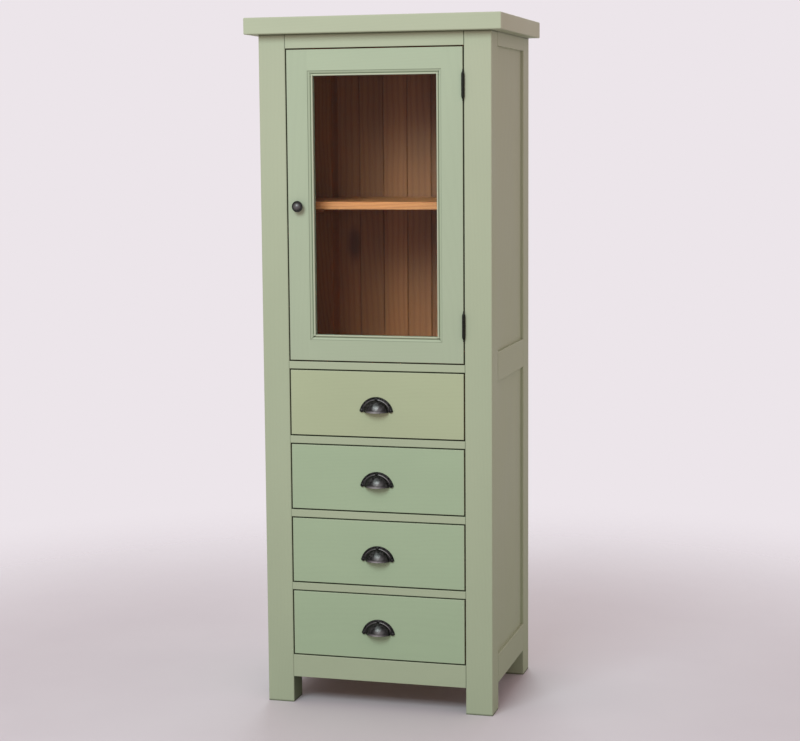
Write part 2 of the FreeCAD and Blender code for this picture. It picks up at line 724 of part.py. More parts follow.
# Glazing: a mitred moulding in front of the pane and mitred beads behind it.
def mitred_frame(name, section):
    """Four strips round the light; the section is pairs of distance inwards and depth, with any arcs."""
    upright = new_body(name + "_upright")
    corners = [(f"-light_edge + {inward}", f"face_plane + {depth}", *arc)
               for inward, depth, *arc in section]
    sketch = outline(upright, name + "_upright_section", "xy", [corners], "light_bottom")
    pad(upright, name + "_upright_length", sketch, "light_height")
    outer = "-light_edge"
    inner = "-light_edge + moulding_width + overrun"
    rise = "moulding_width + overrun"
    below = [(outer, "light_bottom"), (inner, "light_bottom"), (inner, f"light_bottom + {rise}")]
    above = [(outer, "light_top"), (inner, f"light_top - {rise}"), (inner, "light_top")]
    ends = outline(upright, name + "_upright_ends", "xz", [below, above])
    cut_through(upright, name + "_upright_mitres", ends)

    level = new_body(name + "_level")
    corners = [(f"face_plane + {depth}", f"light_top - ({inward})", *arc)
               for inward, depth, *arc in section]
    sketch = outline(level, name + "_level_section", "yz", [corners])
    pad(level, name + "_level_length", sketch, "2 * light_edge", both_ways=True)
    low = f"light_top - {rise}"
    left = [("-light_edge", "light_top"), ("-light_edge", low), (f"-light_edge + {rise}", low)]
    right = [("light_edge", "light_top"), (f"light_edge - ({rise})", low), ("light_edge", low)]
    ends = outline(level, name + "_level_ends", "xz", [left, right])
    cut_through(level, name + "_level_mitres", ends)
    strips = [upright, mirrored(name + "_upright_right", upright)]
    strips += [level, mirrored(name + "_level_lower", level, (0, 0, 1), "door_middle")]
    return group(name, strips)


BEAD_START = "moulding_width - bead_width"
moulding_section = [
    ("0", "moulding_step", "moulding_slope_round"),
    ("moulding_slope_width", "moulding_step + moulding_slope_drop"),
    ("moulding_slope_width", "quirk_depth"),
    (BEAD_START, "quirk_depth"),
    (BEAD_START, "bead_base", "bead_radius"),
    ("moulding_width", "bead_base"),
    ("moulding_width", "moulding_depth"),
    ("0", "moulding_depth"),
]
GLASS_BACK = "moulding_depth + glass_thickness"
bead_section = [
    ("0", GLASS_BACK),
    ("moulding_width", GLASS_BACK),
    ("moulding_width", "door_thickness - glazing_bead_bevel"),
    ("moulding_width - glazing_bead_bevel", "door_thickness"),
    ("0", "door_thickness"),
]
keep(mitred_frame("moulding", moulding_section), "door_moulding")
keep(mitred_frame("glazing", bead_section), "door_glazing_beads")
PANE_SIZE = ("2 * (light_edge - loose_fit)", "glass_thickness", "light_height - 2 * loose_fit")
pane_corner = ("loose_fit - light_edge", "face_plane + moulding_depth", "light_bottom + loose_fit")
keep(board("pane", PANE_SIZE, pane_corner), "door_glass")

# Knob, turned about its own axis, and the catch that holds the door shut.
KNOB_COVE = "knob_base_radius - knob_neck_radius"
knob_body = new_body("knob")
knob_section = [
    ("0", "0"),
    ("knob_base_radius", "0"),
    ("knob_base_radius", "knob_base_height", KNOB_COVE, "right"),
    ("knob_neck_radius", f"knob_base_height + {KNOB_COVE}"),
    ("knob_neck_radius", "knob_neck_end"),
    ("knob_rim_radius", "knob_rim_start", "knob_rim_round"),
    ("knob_rim_radius", "knob_rim_end"),
    ("knob_dome_foot_radius", "knob_rim_end", "knob_dome_radius"),
    ("0", "knob_height"),
]
turning = knob_body.newObject("PartDesign::Revolution", "knob_turning")
turning.Profile = outline(knob_body, "knob_section", "xy", [knob_section])
turning.ReferenceAxis = (turning.Profile[0], ["V_Axis"])
turning.Angle = 360
knob_body.Placement = FreeCAD.Placement(FreeCAD.Vector(), FreeCAD.Rotation(FreeCAD.Vector(0, 0, 1), 180))
place(knob_body, ("knob_x", "face_plane", "door_middle"))
keep(received("knob_tapped", knob_body, [knob_screw]), "door_knob")

CATCH_SIZE = ("catch_width", "catch_length", "catch_height")
CATCH_BASE = "shelf_height - shelf_thickness"
catch_corner = ("-post_inner", "door_back + catch_plate_thickness + catch_air_gap", CATCH_BASE)
keep(board("catch", CATCH_SIZE, catch_corner), "door_catch")
PLATE_SIZE = ("catch_width", "catch_plate_thickness", "catch_height")
plate_corner = ("-door_edge", "door_back", CATCH_BASE)
keep(board("plate", PLATE_SIZE, plate_corner), "door_catch_plate")


# Drawers: dovetailed boxes, each with a cast cup pull.
def drawer_side(name, foot):
    """The right-hand side, with flared tails at its front end."""
    rim = f"{foot} + drawer_side_height"
    corners = [("drawer_end", foot), ("drawer_end", rim), ("drawer_front_back", rim)]
    for tail in reversed(range(COUNTS["dovetail_count"])):
        middle = f"{foot} + {tail} * dovetail_pitch + dovetail_pitch / 2"
        root = "(dovetail_pitch - dovetail_pin) / 2"
        corners += [("drawer_front_back", f"{middle} + {root}")]
        corners += [("dovetail_end", f"{middle} + {root} + dovetail_flare")]
        corners += [("dovetail_end", f"{middle} - {root} - dovetail_flare")]
        corners += [("drawer_front_back", f"{middle} - {root}")]
    corners += [("drawer_front_back", foot)]
    body = new_body(name)
    face = outline(body, name + "_face", "yz", [corners], "drawer_inner")
    pad(body, name + "_thickness", face, "drawer_side_thickness")
    return body


def cup_section(wall, start):
    """Half of the cup's section: a collar, a tight shoulder and a flatter crown that meet smoothly."""
    turned = "pull_inset / pull_turn_radius"
    level = "(pull_turn_radius - pull_bulge) / pull_turn_radius"
    crown = f"(pull_crown_radius - {wall})"
    tip = f"face_plane - pull_cup_projection + {wall}"
    rim = f"pull_cup_radius - {wall}"
    return [
        ("0", start),
        (rim, start),
        (rim, "face_plane - pull_collar", f"pull_shoulder_radius - {wall}", "right"),
        (f"{crown} * {turned}", f"{tip} + {crown} - {crown} * {level}", crown, "right"),
        ("0", tip),
    ]


def cup_pull(name, middle):
    """A half-round back plate with a step, two bosses and a hollow quarter-round cup open below."""
    body = new_body(name)
    base = f"{middle} - pull_height / 2"
    centre = f"{base} + pull_height - pull_arc_radius"
    plate = {"Radius": "pull_arc_radius", "Height": "pull_plate_thickness"}
    round_feature(body, name + "_plate", "Cylinder", plate, ("0", "face_plane", centre), "-y")
    step = {"Radius": "pull_arc_radius - pull_step_width",
            "Height": "pull_plate_thickness + pull_step_height"}
    round_feature(body, name + "_step", "Cylinder", step, ("0", "face_plane", centre), "-y")
    doc.recompute()
    stepped = body.Tip
    rims = [f"Edge{number}" for number, edge in enumerate(stepped.Shape.Edges, start=1)
            if len(edge.Vertexes) == 1 and edge.BoundBox.YMax < value("face_plane")]
    rounded = body.newObject("PartDesign::Fillet", name + "_rims")
    rounded.Base = (stepped, rims)
    bind(rounded, {"Radius": "pull_arris"})
    reach = "(pull_arc_radius + overrun)"
    block(body, name + "_foot", (f"2 * {reach}", "pull_boss_height + 2 * overrun", f"2 * {reach}"),
          (f"-{reach}", "face_plane - pull_boss_height - overrun",
           f"{base} + pull_plate_lift - 2 * {reach}"), "Subtractive")
    for side in ("-", "+"):
        boss = {"Radius": "pull_boss_radius", "Height": "pull_boss_height"}
        spot = (f"0 {side} pull_boss_half_spacing", "face_plane", f"{base} + pull_boss_rise")
        round_feature(body, f"{name}_boss{side}", "Cylinder", boss, spot, "-y")
    pip = {"Radius": "pull_pip_radius", "Height": "pull_pip_height"}
    spot = ("0", "face_plane", f"{base} + pull_height - pull_step_width")
    round_feature(body, name + "_pip", "Cylinder", pip, spot, "-y")
    bowls = (("Revolution", "0", "face_plane"), ("Groove", "pull_wall", "face_plane + overrun"))
    for kind, wall, start in bowls:
        bowl = body.newObject(f"PartDesign::{kind}", f"{name}_{kind}")
        bowl.Profile = outline(body, f"{name}_{kind}_section", "xy", [cup_section(wall, start)], base)
        bowl.ReferenceAxis = (bowl.Profile[0], ["V_Axis"])
        bowl.Angle = 180
        bowl.Reversed = True
    return body


def drawer(number, base):
    name = f"drawer_{number}"
    foot = f"{base} + reveal_gap"
    middle = f"{foot} + drawer_front_height / 2"
    side = drawer_side(name + "_side", foot)
    twin = mirrored(name + "_side_twin", side)
    bottom_top = f"{foot} + drawer_bottom_rise + drawer_bottom_thickness"
    housed = "drawer_inner + drawer_housing_depth"
    back_height = "drawer_side_height - drawer_back_drop - drawer_bottom_rise - drawer_bottom_thickness"
    back = board(name + "_back_piece", (f"2 * ({housed})", "drawer_back_thickness", back_height),
                 (f"-({housed})", "drawer_back_end - drawer_back_thickness", bottom_top))
    groove = "drawer_front_back - drawer_housing_depth"
    bottom = board(name + "_bottom_piece",
                   (f"2 * ({housed})", f"drawer_back_end - ({groove})", "drawer_bottom_thickness"),
                   (f"-({housed})", groove, f"{foot} + drawer_bottom_rise"))
    boss_height = f"{middle} - pull_height / 2 + pull_boss_rise"
    screws = []
    for end, sign in (("left", "-"), ("right", "+")):
        screws.append(fixing_screw(f"{name}_screw_{end}", f"0 {sign} pull_boss_half_spacing",
                                   boss_height, "drawer_front_back", "fixing_bite"))
    front = board(name + "_front_piece", ("2 * door_edge", "drawer_front_thickness", "drawer_front_height"),
                  ("-door_edge", "face_plane", foot), FRONT_CORNERS)
    pull = cup_pull(name + "_pull_casting", middle)
    housed_side = received(name + "_side_housed", side, [back, bottom])
    keep(received(name + "_front_cut", front, [side, twin, bottom] + screws), name + "_front")
    side_pair = [housed_side, mirrored(name + "_side_left", housed_side)]
    keep(group(name + "_side_pair", side_pair), name + "_sides")
    keep(back, name + "_back")
    keep(bottom, name + "_bottom")
    keep(received(name + "_pull_tapped", pull, screws), name + "_cup_pull")
    keep(group(name + "_screw_pair", screws), name + "_pull_screws")


for number in range(1, COUNTS["drawer_count"] + 1):
    drawer(number, f"drawer_base + {COUNTS['drawer_count'] - number} * drawer_pitch")

doc.recompute()

# Every object has to be sound before anything is written.
failed = [thing.Label for thing in doc.Objects if {"Invalid", "Error"} & set(thing.State)]
if failed:
    raise RuntimeError(f"these did not build: {failed}")
for name, piece in nodes.items():
    if piece.Shape.isNull() or not piece.Shape.isValid() or not piece.Shape.Solids:
        raise RuntimeError(f"{name} is not a sound solid")

os.makedirs("parts", exist_ok=True)
for name, piece in nodes.items():
    piece.Shape.exportStep(f"parts/{name}.step")
    print(name, len(piece.Shape.Solids), round(piece.Shape.Volume))
print(len(nodes), "sub-parts")
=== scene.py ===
# %% [markdown]
# # A painted pine cabinet, dressed for the camera
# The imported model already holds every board, hinge and drawer in its place. This lesson leaves
# those solids where they are and gives them their finishes, then makes a few small castings again
# as smooth surfaces. Lengths are metres, +Z is up and the front of the cabinet looks towards -Y.

import math

import bmesh
import bpy
import numpy as np
from mathutils import Matrix, Vector


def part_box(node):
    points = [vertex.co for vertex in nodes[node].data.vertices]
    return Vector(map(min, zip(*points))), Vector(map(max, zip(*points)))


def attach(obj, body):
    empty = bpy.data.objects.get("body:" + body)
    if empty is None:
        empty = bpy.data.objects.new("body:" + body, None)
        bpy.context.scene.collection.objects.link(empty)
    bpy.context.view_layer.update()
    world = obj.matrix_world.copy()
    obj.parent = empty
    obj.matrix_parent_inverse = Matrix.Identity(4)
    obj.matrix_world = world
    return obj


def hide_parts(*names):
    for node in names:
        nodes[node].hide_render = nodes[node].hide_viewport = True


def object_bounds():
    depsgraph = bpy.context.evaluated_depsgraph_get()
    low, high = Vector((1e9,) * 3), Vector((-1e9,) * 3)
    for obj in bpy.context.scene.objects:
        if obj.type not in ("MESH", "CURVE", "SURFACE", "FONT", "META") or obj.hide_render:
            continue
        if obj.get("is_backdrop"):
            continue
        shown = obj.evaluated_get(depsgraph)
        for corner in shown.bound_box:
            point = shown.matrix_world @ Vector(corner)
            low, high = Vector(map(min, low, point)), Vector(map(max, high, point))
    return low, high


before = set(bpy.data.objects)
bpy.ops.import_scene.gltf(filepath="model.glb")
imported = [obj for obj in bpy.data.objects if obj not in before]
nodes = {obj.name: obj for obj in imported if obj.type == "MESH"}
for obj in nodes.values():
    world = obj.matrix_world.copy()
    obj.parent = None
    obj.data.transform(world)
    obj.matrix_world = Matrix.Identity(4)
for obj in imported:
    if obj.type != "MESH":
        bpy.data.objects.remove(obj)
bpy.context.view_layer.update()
MM = 0.001

# %% [markdown]
# A colour is easiest to choose on the usual 0 to 255 scale, but shaders reckon with the amount of
# light. One small function turns the first into the second. Each wood is a pair: its ground and
# its darker late wood.


# %% Swatches
def tone(red, green, blue):
    """A swatch on the 0-255 scale as linear light: the usual screen curve undone."""
    share = np.array([red, green, blue]) / 255
    light = np.where(share <= 0.04045, share / 12.92, ((share + 0.055) / 1.055) ** 2.4)
    return (*light.tolist(), 1)


SAGE = tone(180, 187, 162)
# The greener coat below is painted light: less warm light reaches the lower part.
LOW_SAGE = tone(178, 188, 161)
DOOR_SAGE = tone(176, 188, 163)
OLIVE_SAGE = tone(182, 191, 158)
# The greener coat of the lower three drawer fronts is painted light, as on the lower carcass.
LEAF_SAGE = tone(173, 191, 161)
# Paler paint: thin paint and a painted highlight on the arrises and the bead, pale end grain on the top
# board.
THIN_SAGE_AND_HIGHLIGHT = tone(192, 197, 174)
# Dark paint for open joints, and for painted shade under the top, at the feet and in the gaps.
CRACK_AND_SHADE = tone(34, 46, 16)
WARM_PINE = tone(197, 125, 71), tone(178, 102, 54)
BROWN_PINE = tone(160, 98, 56), tone(145, 85, 46)
PALE_PINE = tone(222, 188, 138), tone(205, 162, 110)
DUSTY_PINE = tone(172, 142, 108)
END_PINE = tone(168, 118, 70)
KNOT = tone(96, 56, 34)
print("swatches in linear light, sage:", [round(v, 3) for v in SAGE[:3]])

# %% [markdown]
# Every finish is a small tree of shader nodes, and a few helpers do the wiring. The first adds a
# node and fills or links its sockets. The others do sums, mix colours and carry a value from one
# span onto another.


# %% Helpers that wire a node tree
def add(tree, kind, sockets=None, **settings):
    """One node with its settings; each socket takes a link or a plain value."""
    made = tree.nodes.new("ShaderNode" + kind)
    for key, setting in settings.items():
        setattr(made, key, setting)
    for key, content in (sockets or {}).items():
        if isinstance(content, bpy.types.NodeSocket):
            tree.links.new(content, made.inputs[key])
        else:
            made.inputs[key].default_value = content
    return made


def reckon(tree, operation, *terms):
    """A sum of one, two or three terms, each a link or a number."""
    return add(tree, "Math", dict(enumerate(terms)), operation=operation).outputs[0]


def times(tree, first, second):
    """A product of two terms."""
    return reckon(tree, "MULTIPLY", first, second)


def carry(tree, operation, values):
    """One operation carried through a list, as in a + b + c."""
    result, *others = values
    for value in others:
        result = reckon(tree, operation, result, value)
    return result


def join(tree, parts):
    """A point, or a colour, made of three values."""
    return add(tree, "CombineXYZ", dict(enumerate(parts))).outputs[0]


MIX_SHARE, MIX_FIRST, MIX_SECOND, MIX_RESULT = 0, 6, 7, 2


def blend(tree, share, first, second, how="MIX"):
    """Two colours mixed by a share from 0 to 1."""
    sockets = {MIX_SHARE: share, MIX_FIRST: first, MIX_SECOND: second}
    return add(tree, "Mix", sockets, data_type="RGBA", blend_type=how).outputs[MIX_RESULT]


def shaded(tree, colour, value):
    """A colour made lighter or darker by one value."""
    return blend(tree, 1, colour, join(tree, [value] * 3), "MULTIPLY")


def mapped(tree, value, span, onto, ease="LINEAR"):
    """A value carried from one span onto another, each a pair, and held at the ends."""
    sockets = dict(enumerate((value, *span, *onto)))
    return add(tree, "MapRange", sockets, interpolation_type=ease).outputs[0]


print("wiring helpers ready")

# %% [markdown]
# A pattern starts from a point on the surface. It can be split into its axes, measured from the
# middle of the cabinet, shifted or stretched, and noise can be laid over it. The last helper turns
# the axes of a board, so that its grain always runs along the third.


# %% Helpers that work on a point
def split(tree, point):
    """The parts X, Y and Z of a point."""
    return add(tree, "SeparateXYZ", {"Vector": point}).outputs


def measures(tree, point):
    """How far a point lies from the middle plane, how far back and how high."""
    spot = split(tree, point)
    return reckon(tree, "ABSOLUTE", spot["X"]), spot["Y"], spot["Z"]


def vector(tree, operation, first, second):
    """A sum of two points, axis by axis."""
    return add(tree, "VectorMath", {0: first, 1: second}, operation=operation).outputs[0]


def stretched(tree, point, scale):
    """A point multiplied axis by axis, which sets how fine a pattern is."""
    return vector(tree, "MULTIPLY", point, scale)


def noise(tree, point, scale=1, detail=2):
    """Soft noise from 0 to 1."""
    return add(tree, "TexNoise", {"Vector": point, "Scale": scale, "Detail": detail}).outputs["Fac"]


RUNS = {"x": "YZX", "y": "ZXY", "z": "XYZ"}


def along(tree, point, run):
    """The same point with its axes passed round until the grain lies along the third."""
    parts = split(tree, point)
    return join(tree, [parts[axis] for axis in RUNS[run]])


print("grain can run along", sorted(RUNS))

# %% [markdown]
# A plank is a slice through a stack of growth rings, so the figure is made the same way: rings
# round a line that leans a few degrees against the plank, pushed about by slow noise. Where the
# slice meets them, straight lines and pointed arches appear by themselves. Several finishes use
# it, so it is a node group.

# %% Node group: pine figure
VECTOR, NUMBER = "NodeSocketVector", "NodeSocketFloat"


def open_group(name, **takes):
    """A new node group, and the values that it takes."""
    tree = bpy.data.node_groups.new(name, "ShaderNodeTree")
    for label, kind in takes.items():
        tree.interface.new_socket(name=label, in_out="INPUT", socket_type=kind)
    return tree, tree.nodes.new("NodeGroupInput").outputs


def close_group(tree, **gives):
    """The finished group, and the values that it gives."""
    for label in gives:
        tree.interface.new_socket(name=label, in_out="OUTPUT", socket_type=NUMBER)
    end = tree.nodes.new("NodeGroupOutput")
    for label, value in gives.items():
        tree.links.new(value, end.inputs[label])
    return tree


WANDER_STRETCH, WANDER_REACH = (3, 3, 1.1), (0.07, 0.07, 0)
HEART, LEAN = (0.02, 0.06, 0), (math.radians(2.6), math.radians(1.3), 0)
LATE_WOOD_POWER = 2.4
FIBRE_STRETCH, TONE_STRETCH = (240, 240, 5), (16, 16, 0.9)
KNOT_STRETCH, KNOT_SPAN, KNOT_CHOICE = (8, 8, 3.4), (0.05, 0.13), 0.88
tree, given = open_group("Pine figure", Point=VECTOR, Seed=VECTOR)
moved = vector(tree, "ADD", given["Point"], given["Seed"])
slow = {"Vector": stretched(tree, moved, WANDER_STRETCH), "Scale": 1, "Detail": 1.5}
wander = add(tree, "TexNoise", slow).outputs["Color"]
bent = vector(tree, "ADD", moved, stretched(tree, wander, WANDER_REACH))
leant = add(tree, "Mapping", {"Vector": bent, "Location": HEART, "Rotation": LEAN}).outputs[0]
growth = {"Vector": leant, "Scale": 38, "Distortion": 2.2, "Detail": 2, "Detail Scale": 0.6}
rings = add(tree, "TexWave", growth, wave_type="RINGS", rings_direction="Z").outputs["Fac"]
cells = add(tree, "TexVoronoi", {"Vector": stretched(tree, moved, KNOT_STRETCH), "Scale": 1}).outputs
near = mapped(tree, cells["Distance"], KNOT_SPAN, (1, 0), "SMOOTHSTEP")
chosen = reckon(tree, "GREATER_THAN", split(tree, cells["Color"])["X"], KNOT_CHOICE)
pine_figure = close_group(tree, Rings=reckon(tree, "POWER", rings, LATE_WOOD_POWER),
                          Fibre=noise(tree, stretched(tree, moved, FIBRE_STRETCH), detail=3),
                          Knots=times(tree, near, chosen),
                          Tone=noise(tree, stretched(tree, moved, TONE_STRETCH)))
print("pine figure:", len(pine_figure.nodes), "nodes")

# %% [markdown]
# The paint went on with a brush, along each board. A brush leaves fine furrows that catch the
# light and a slight cloudiness where the coat is thicker. Both are noise stretched along the
# stroke.

# %% Node group: brush marks
FURROW_STRETCH, CLOUD_STRETCH = (340, 340, 5), (7, 7, 2.6)
tree, given = open_group("Brush marks", Point=VECTOR)
furrows = noise(tree, stretched(tree, given["Point"], FURROW_STRETCH), detail=2.5)
cloud = noise(tree, stretched(tree, given["Point"], CLOUD_STRETCH), detail=4)
brush_marks = close_group(tree, Furrows=furrows, Cloud=cloud)
print("brush marks:", len(brush_marks.nodes), "nodes")

# %% [markdown]
# Paint is thinnest on an arris, where the brush wipes it off and hands rub it, and an arris also
# catches the light, so its paler paint is partly wear and partly a painted highlight. A board is a
# box, so its arrises can be found from its two corners alone: measure how far a point is from the
# nearest face across each axis, and the middle one of the three distances is the distance to the
# nearest arris. A little noise keeps the pale line from looking ruled.

# %% Node group: thin paint and painted highlight on an arris
PATCH_SCALE, PATCH_REACH = 60, 2
# The group gives 1 on the arrises, where the paler paint is thin paint and also a painted highlight.
tree, given = open_group("Worn arris", Point=VECTOR, Low=VECTOR, High=VECTOR, Width=NUMBER)
from_low = vector(tree, "SUBTRACT", given["Point"], given["Low"])
from_high = vector(tree, "SUBTRACT", given["High"], given["Point"])
nearest = split(tree, vector(tree, "MINIMUM", from_low, from_high))
smallest, largest, total = (carry(tree, operation, nearest) for operation in ("MINIMUM", "MAXIMUM", "ADD"))
middle = carry(tree, "SUBTRACT", (total, smallest, largest))
patchy = noise(tree, given["Point"], PATCH_SCALE, 3)
reach = carry(tree, "MULTIPLY", (patchy, PATCH_REACH, given["Width"]))
arris_wear_and_highlight = close_group(tree, Worn=mapped(tree, middle, (0, reach), (1, 0), "SMOOTHSTEP"))
print("worn arris:", len(arris_wear_and_highlight.nodes), "nodes")

# %% [markdown]
# The coat stops inside: the cupboard and the drawer bay are left as stained pine. A painter turns
# the brush a little behind the door, so there the border is ragged. The other limits are planes
# inside the side panels, in front of the back boards, at the bottom rail and under the top. The
# group is 1 within them.

# %% Node group: the bare inside
PANEL_THICK = 12 * MM
BRUSH_STOP, RAGGED_REACH, RAGGED_SCALE = 2 * MM, 1.6 * MM, 90
BACK_SLACK, FOOT_SLACK, TOP_SLACK = 0.2 * MM, 0.3 * MM, 0.5 * MM
door_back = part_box("door_hinge_stile")[1].y
panel_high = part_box("side_upper_panels")[1]
back_low, back_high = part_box("back_boards")
top_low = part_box("top_board")[0]
leg_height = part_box("front_bottom_rail")[0].z
panel_middle = panel_high.x - PANEL_THICK / 2
tree, given = open_group("Bare inside", Point=VECTOR)
across, depth, height = measures(tree, given["Point"])
ragged = reckon(tree, "SUBTRACT", noise(tree, given["Point"], RAGGED_SCALE), 0.5)
border = reckon(tree, "ADD", depth, times(tree, ragged, RAGGED_REACH))
limits = (reckon(tree, "LESS_THAN", across, panel_middle),
          reckon(tree, "GREATER_THAN", border, door_back + BRUSH_STOP),
          reckon(tree, "LESS_THAN", depth, back_low.y + BACK_SLACK),
          reckon(tree, "GREATER_THAN", height, leg_height + FOOT_SLACK),
          reckon(tree, "LESS_THAN", height, top_low.z + TOP_SLACK))
bare_inside = close_group(tree, Inside=carry(tree, "MULTIPLY", limits))
print("bare inside behind y", round(door_back, 4), "and within x", round(panel_middle, 4))

# %% [markdown]
# A material holds one shiny or dull surface and whatever feeds it. These helpers start a material,
# set a group into it, and link its roughness and bump. The wood helper turns the figure into
# colour: pale early wood, darker late wood, a slow drift of tone and the odd knot.


# %% Helpers for a material
def new_material(name):
    """A material with a Principled surface, and the point that its patterns start from."""
    material = bpy.data.materials.new(name)
    material.use_nodes = True
    tree = material.node_tree
    tree.nodes.clear()
    surface = add(tree, "BsdfPrincipled")
    add(tree, "OutputMaterial", {"Surface": surface.outputs[0]})
    return material, tree, surface, add(tree, "TexCoord").outputs["Object"]


def place(tree, group, **sockets):
    """A node group set into a material, with its sockets filled or linked."""
    return add(tree, "Group", sockets, node_tree=group).outputs


def feed(tree, surface, rough, height, strength, depth):
    """Link a roughness to a surface, and a bump of some strength and depth."""
    tree.links.new(rough, surface.inputs["Roughness"])
    bump = add(tree, "Bump", {"Strength": strength, "Distance": depth, "Height": height}).outputs[0]
    tree.links.new(bump, surface.inputs["Normal"])


def dress(node, material):
    """Give a finished node its material."""
    nodes[node].data.materials.clear()
    nodes[node].data.materials.append(material)


LINE_SHARE, KNOT_SHARE = 0.85, 0.8
TONE_DRIFT = (0.3, 0.7), (0.80, 1.12)
FIBRE_DRIFT = (0.25, 0.75), (0.96, 1.03)


def wood_colour(tree, figure, ground, line):
    """Two swatches mixed by the rings, drifted by tone and fibre, darkened at the knots."""
    base = blend(tree, times(tree, figure["Rings"], LINE_SHARE), ground, line)
    drift = mapped(tree, figure["Tone"], *TONE_DRIFT)
    fine = mapped(tree, figure["Fibre"], *FIBRE_DRIFT)
    wood = shaded(tree, base, times(tree, drift, fine))
    return blend(tree, times(tree, figure["Knots"], KNOT_SHARE), wood, KNOT)


print("material helpers ready")

# %% [markdown]
# Where a front rail meets a post, the wood works or dirt gathers, and a thin dark line shows in the
# coat. Under the top board and at the feet a thin dark line is painted shade. The faces round the
# door and the drawers get painted shade just behind the front, where the gaps are dark. Each line
# is a distance mapped onto a share of dark paint.

# %% Open joints and painted shade
SHOULDER_LINE, SHADE_LINE = 1.6 * MM, 5 * MM
GAP_FROM, GAP_TO, GAP_SLACK = 0.8 * MM, 2.4 * MM, 0.3 * MM
# The share of painted shade on the faces just behind the front, in the gaps round door and drawers.
GAP_SHADE = 0.6
post_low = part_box("post_front_right")[0]


def cracked_and_shaded(tree, point, paint, shoulder, under_top, foot=0):
    """Dark lines: open joints at a rail's shoulders, painted shade at a foot and below the top board."""
    across, _, height = measures(tree, point)
    drop = times(tree, height, -1)
    for measure, edge, width, share in ((across, post_low.x, SHOULDER_LINE, shoulder),
                                        (drop, 0, SHADE_LINE, foot),
                                        (height, top_low.z, SHADE_LINE, under_top)):
        line = mapped(tree, measure, (edge - width, edge), (0, share))
        paint = blend(tree, line, paint, CRACK_AND_SHADE)
    return paint


def in_gap(tree, point, paint, only_inner):
    """Painted shade just behind the front, where the gaps are dark; on a post, only on its inner face."""
    across, depth, _ = measures(tree, point)
    gap_shade = mapped(tree, depth, (post_low.y + GAP_FROM, post_low.y + GAP_TO), (0, GAP_SHADE))
    if only_inner:
        inner = reckon(tree, "LESS_THAN", across, post_low.x + GAP_SLACK)
        gap_shade = times(tree, gap_shade, inner)
    return blend(tree, gap_shade, paint, CRACK_AND_SHADE)


print("front opening starts at x", round(post_low.x, 4))

# %% [markdown]
# One coat is never one colour. The carcass coat is a touch greener below and plain towards the
# top: painted light, for the warmer light that falls on the upper part. Paint sinks into the end
# grain of the top board and dries pale there. On the moulding round the pane it gathers in the
# outer joint, and the crest of the bead is paler: thin paint and a painted highlight.

# %% Painted light, sunken and thin paint
PAINTED_LIGHT_HEIGHTS = (0.8, 1.9)
SUNK_FROM, SUNK_TO = 1.6 * MM, 0.3 * MM
BEAD_CREST = 11.2 * MM
JOINT_LINE = (0.2 * MM, 1.8 * MM), (0.55, 0)
BEAD_THIN_AND_HIGHLIGHT = (0.8 * MM, 2.4 * MM), (0.9, 0)
moulding_low, moulding_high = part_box("door_moulding")


def coat_with_painted_light(tree, point):
    """The carcass coat: a touch greener below, the plain swatch towards the top; painted light."""
    share = mapped(tree, split(tree, point)["Z"], PAINTED_LIGHT_HEIGHTS, (0, 1), "SMOOTHSTEP")
    return blend(tree, share, LOW_SAGE, SAGE)


def end_grain(tree, point, paint, reach):
    """Paint that sinks into the end grain of a board and dries pale on its two ends."""
    across = measures(tree, point)[0]
    sunk = mapped(tree, across, (reach - SUNK_FROM, reach - SUNK_TO), (0, 1))
    return blend(tree, sunk, paint, THIN_SAGE_AND_HIGHLIGHT)


def moulded(tree, point, paint):
    """Paint on the glazing moulding: a dark line at its outer joint, and a pale line on its bead, thin
    paint and a painted highlight.
    """
    across, _, height = measures(tree, point)
    inward = carry(tree, "MINIMUM", (reckon(tree, "SUBTRACT", height, moulding_low.z),
                                     reckon(tree, "SUBTRACT", moulding_high.z, height),
                                     reckon(tree, "SUBTRACT", moulding_high.x, across)))
    from_crest = reckon(tree, "ABSOLUTE", reckon(tree, "SUBTRACT", inward, BEAD_CREST))
    paint = blend(tree, mapped(tree, inward, *JOINT_LINE), paint, CRACK_AND_SHADE)
    # Pale paint on the crest of the bead: thin paint and a painted highlight.
    return blend(tree, mapped(tree, from_crest, *BEAD_THIN_AND_HIGHLIGHT), paint, THIN_SAGE_AND_HIGHLIGHT)


print("bead crest lies", round(BEAD_CREST / MM, 1), "mm inside the moulding's edge")

# %% [markdown]
# Where the coat stops, wood shows: inside the carcass, and on a drawer front's inner face and the
# pins of its dovetails. The pins are end grain, which drinks oil and dirt and is darker.

# %% Wood beyond the coat
FACE_SLACK = 0.4 * MM
PIN_SHARE = 0.75


def bare_drawer(tree, point, high, lap):
    """Where a drawer front is bare, on its inner face and dovetail pins; and the pins alone."""
    across, depth, _ = measures(tree, point)
    inner = reckon(tree, "GREATER_THAN", depth, high[1] - FACE_SLACK)
    beside = reckon(tree, "GREATER_THAN", across, high[0] - FACE_SLACK)
    pins = times(tree, beside, reckon(tree, "GREATER_THAN", depth, lap))
    return reckon(tree, "MAXIMUM", inner, pins), pins


def coat_stop(tree, point, figure, paint, bare, name, high):
    """Paint up to where the coat stops, and wood beyond it."""
    if bare == "carcass":
        stop = place(tree, bare_inside, Point=point)["Inside"]
        wood = wood_colour(tree, figure, *BROWN_PINE)
    else:
        stop, pins = bare_drawer(tree, point, high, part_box(name.replace("front", "sides"))[0].y)
        wood = wood_colour(tree, figure, *PALE_PINE)
        wood = blend(tree, times(tree, pins, PIN_SHARE), wood, END_PINE)
    return blend(tree, stop, paint, wood)


print("dovetail pins are darkened by", PIN_SHARE)

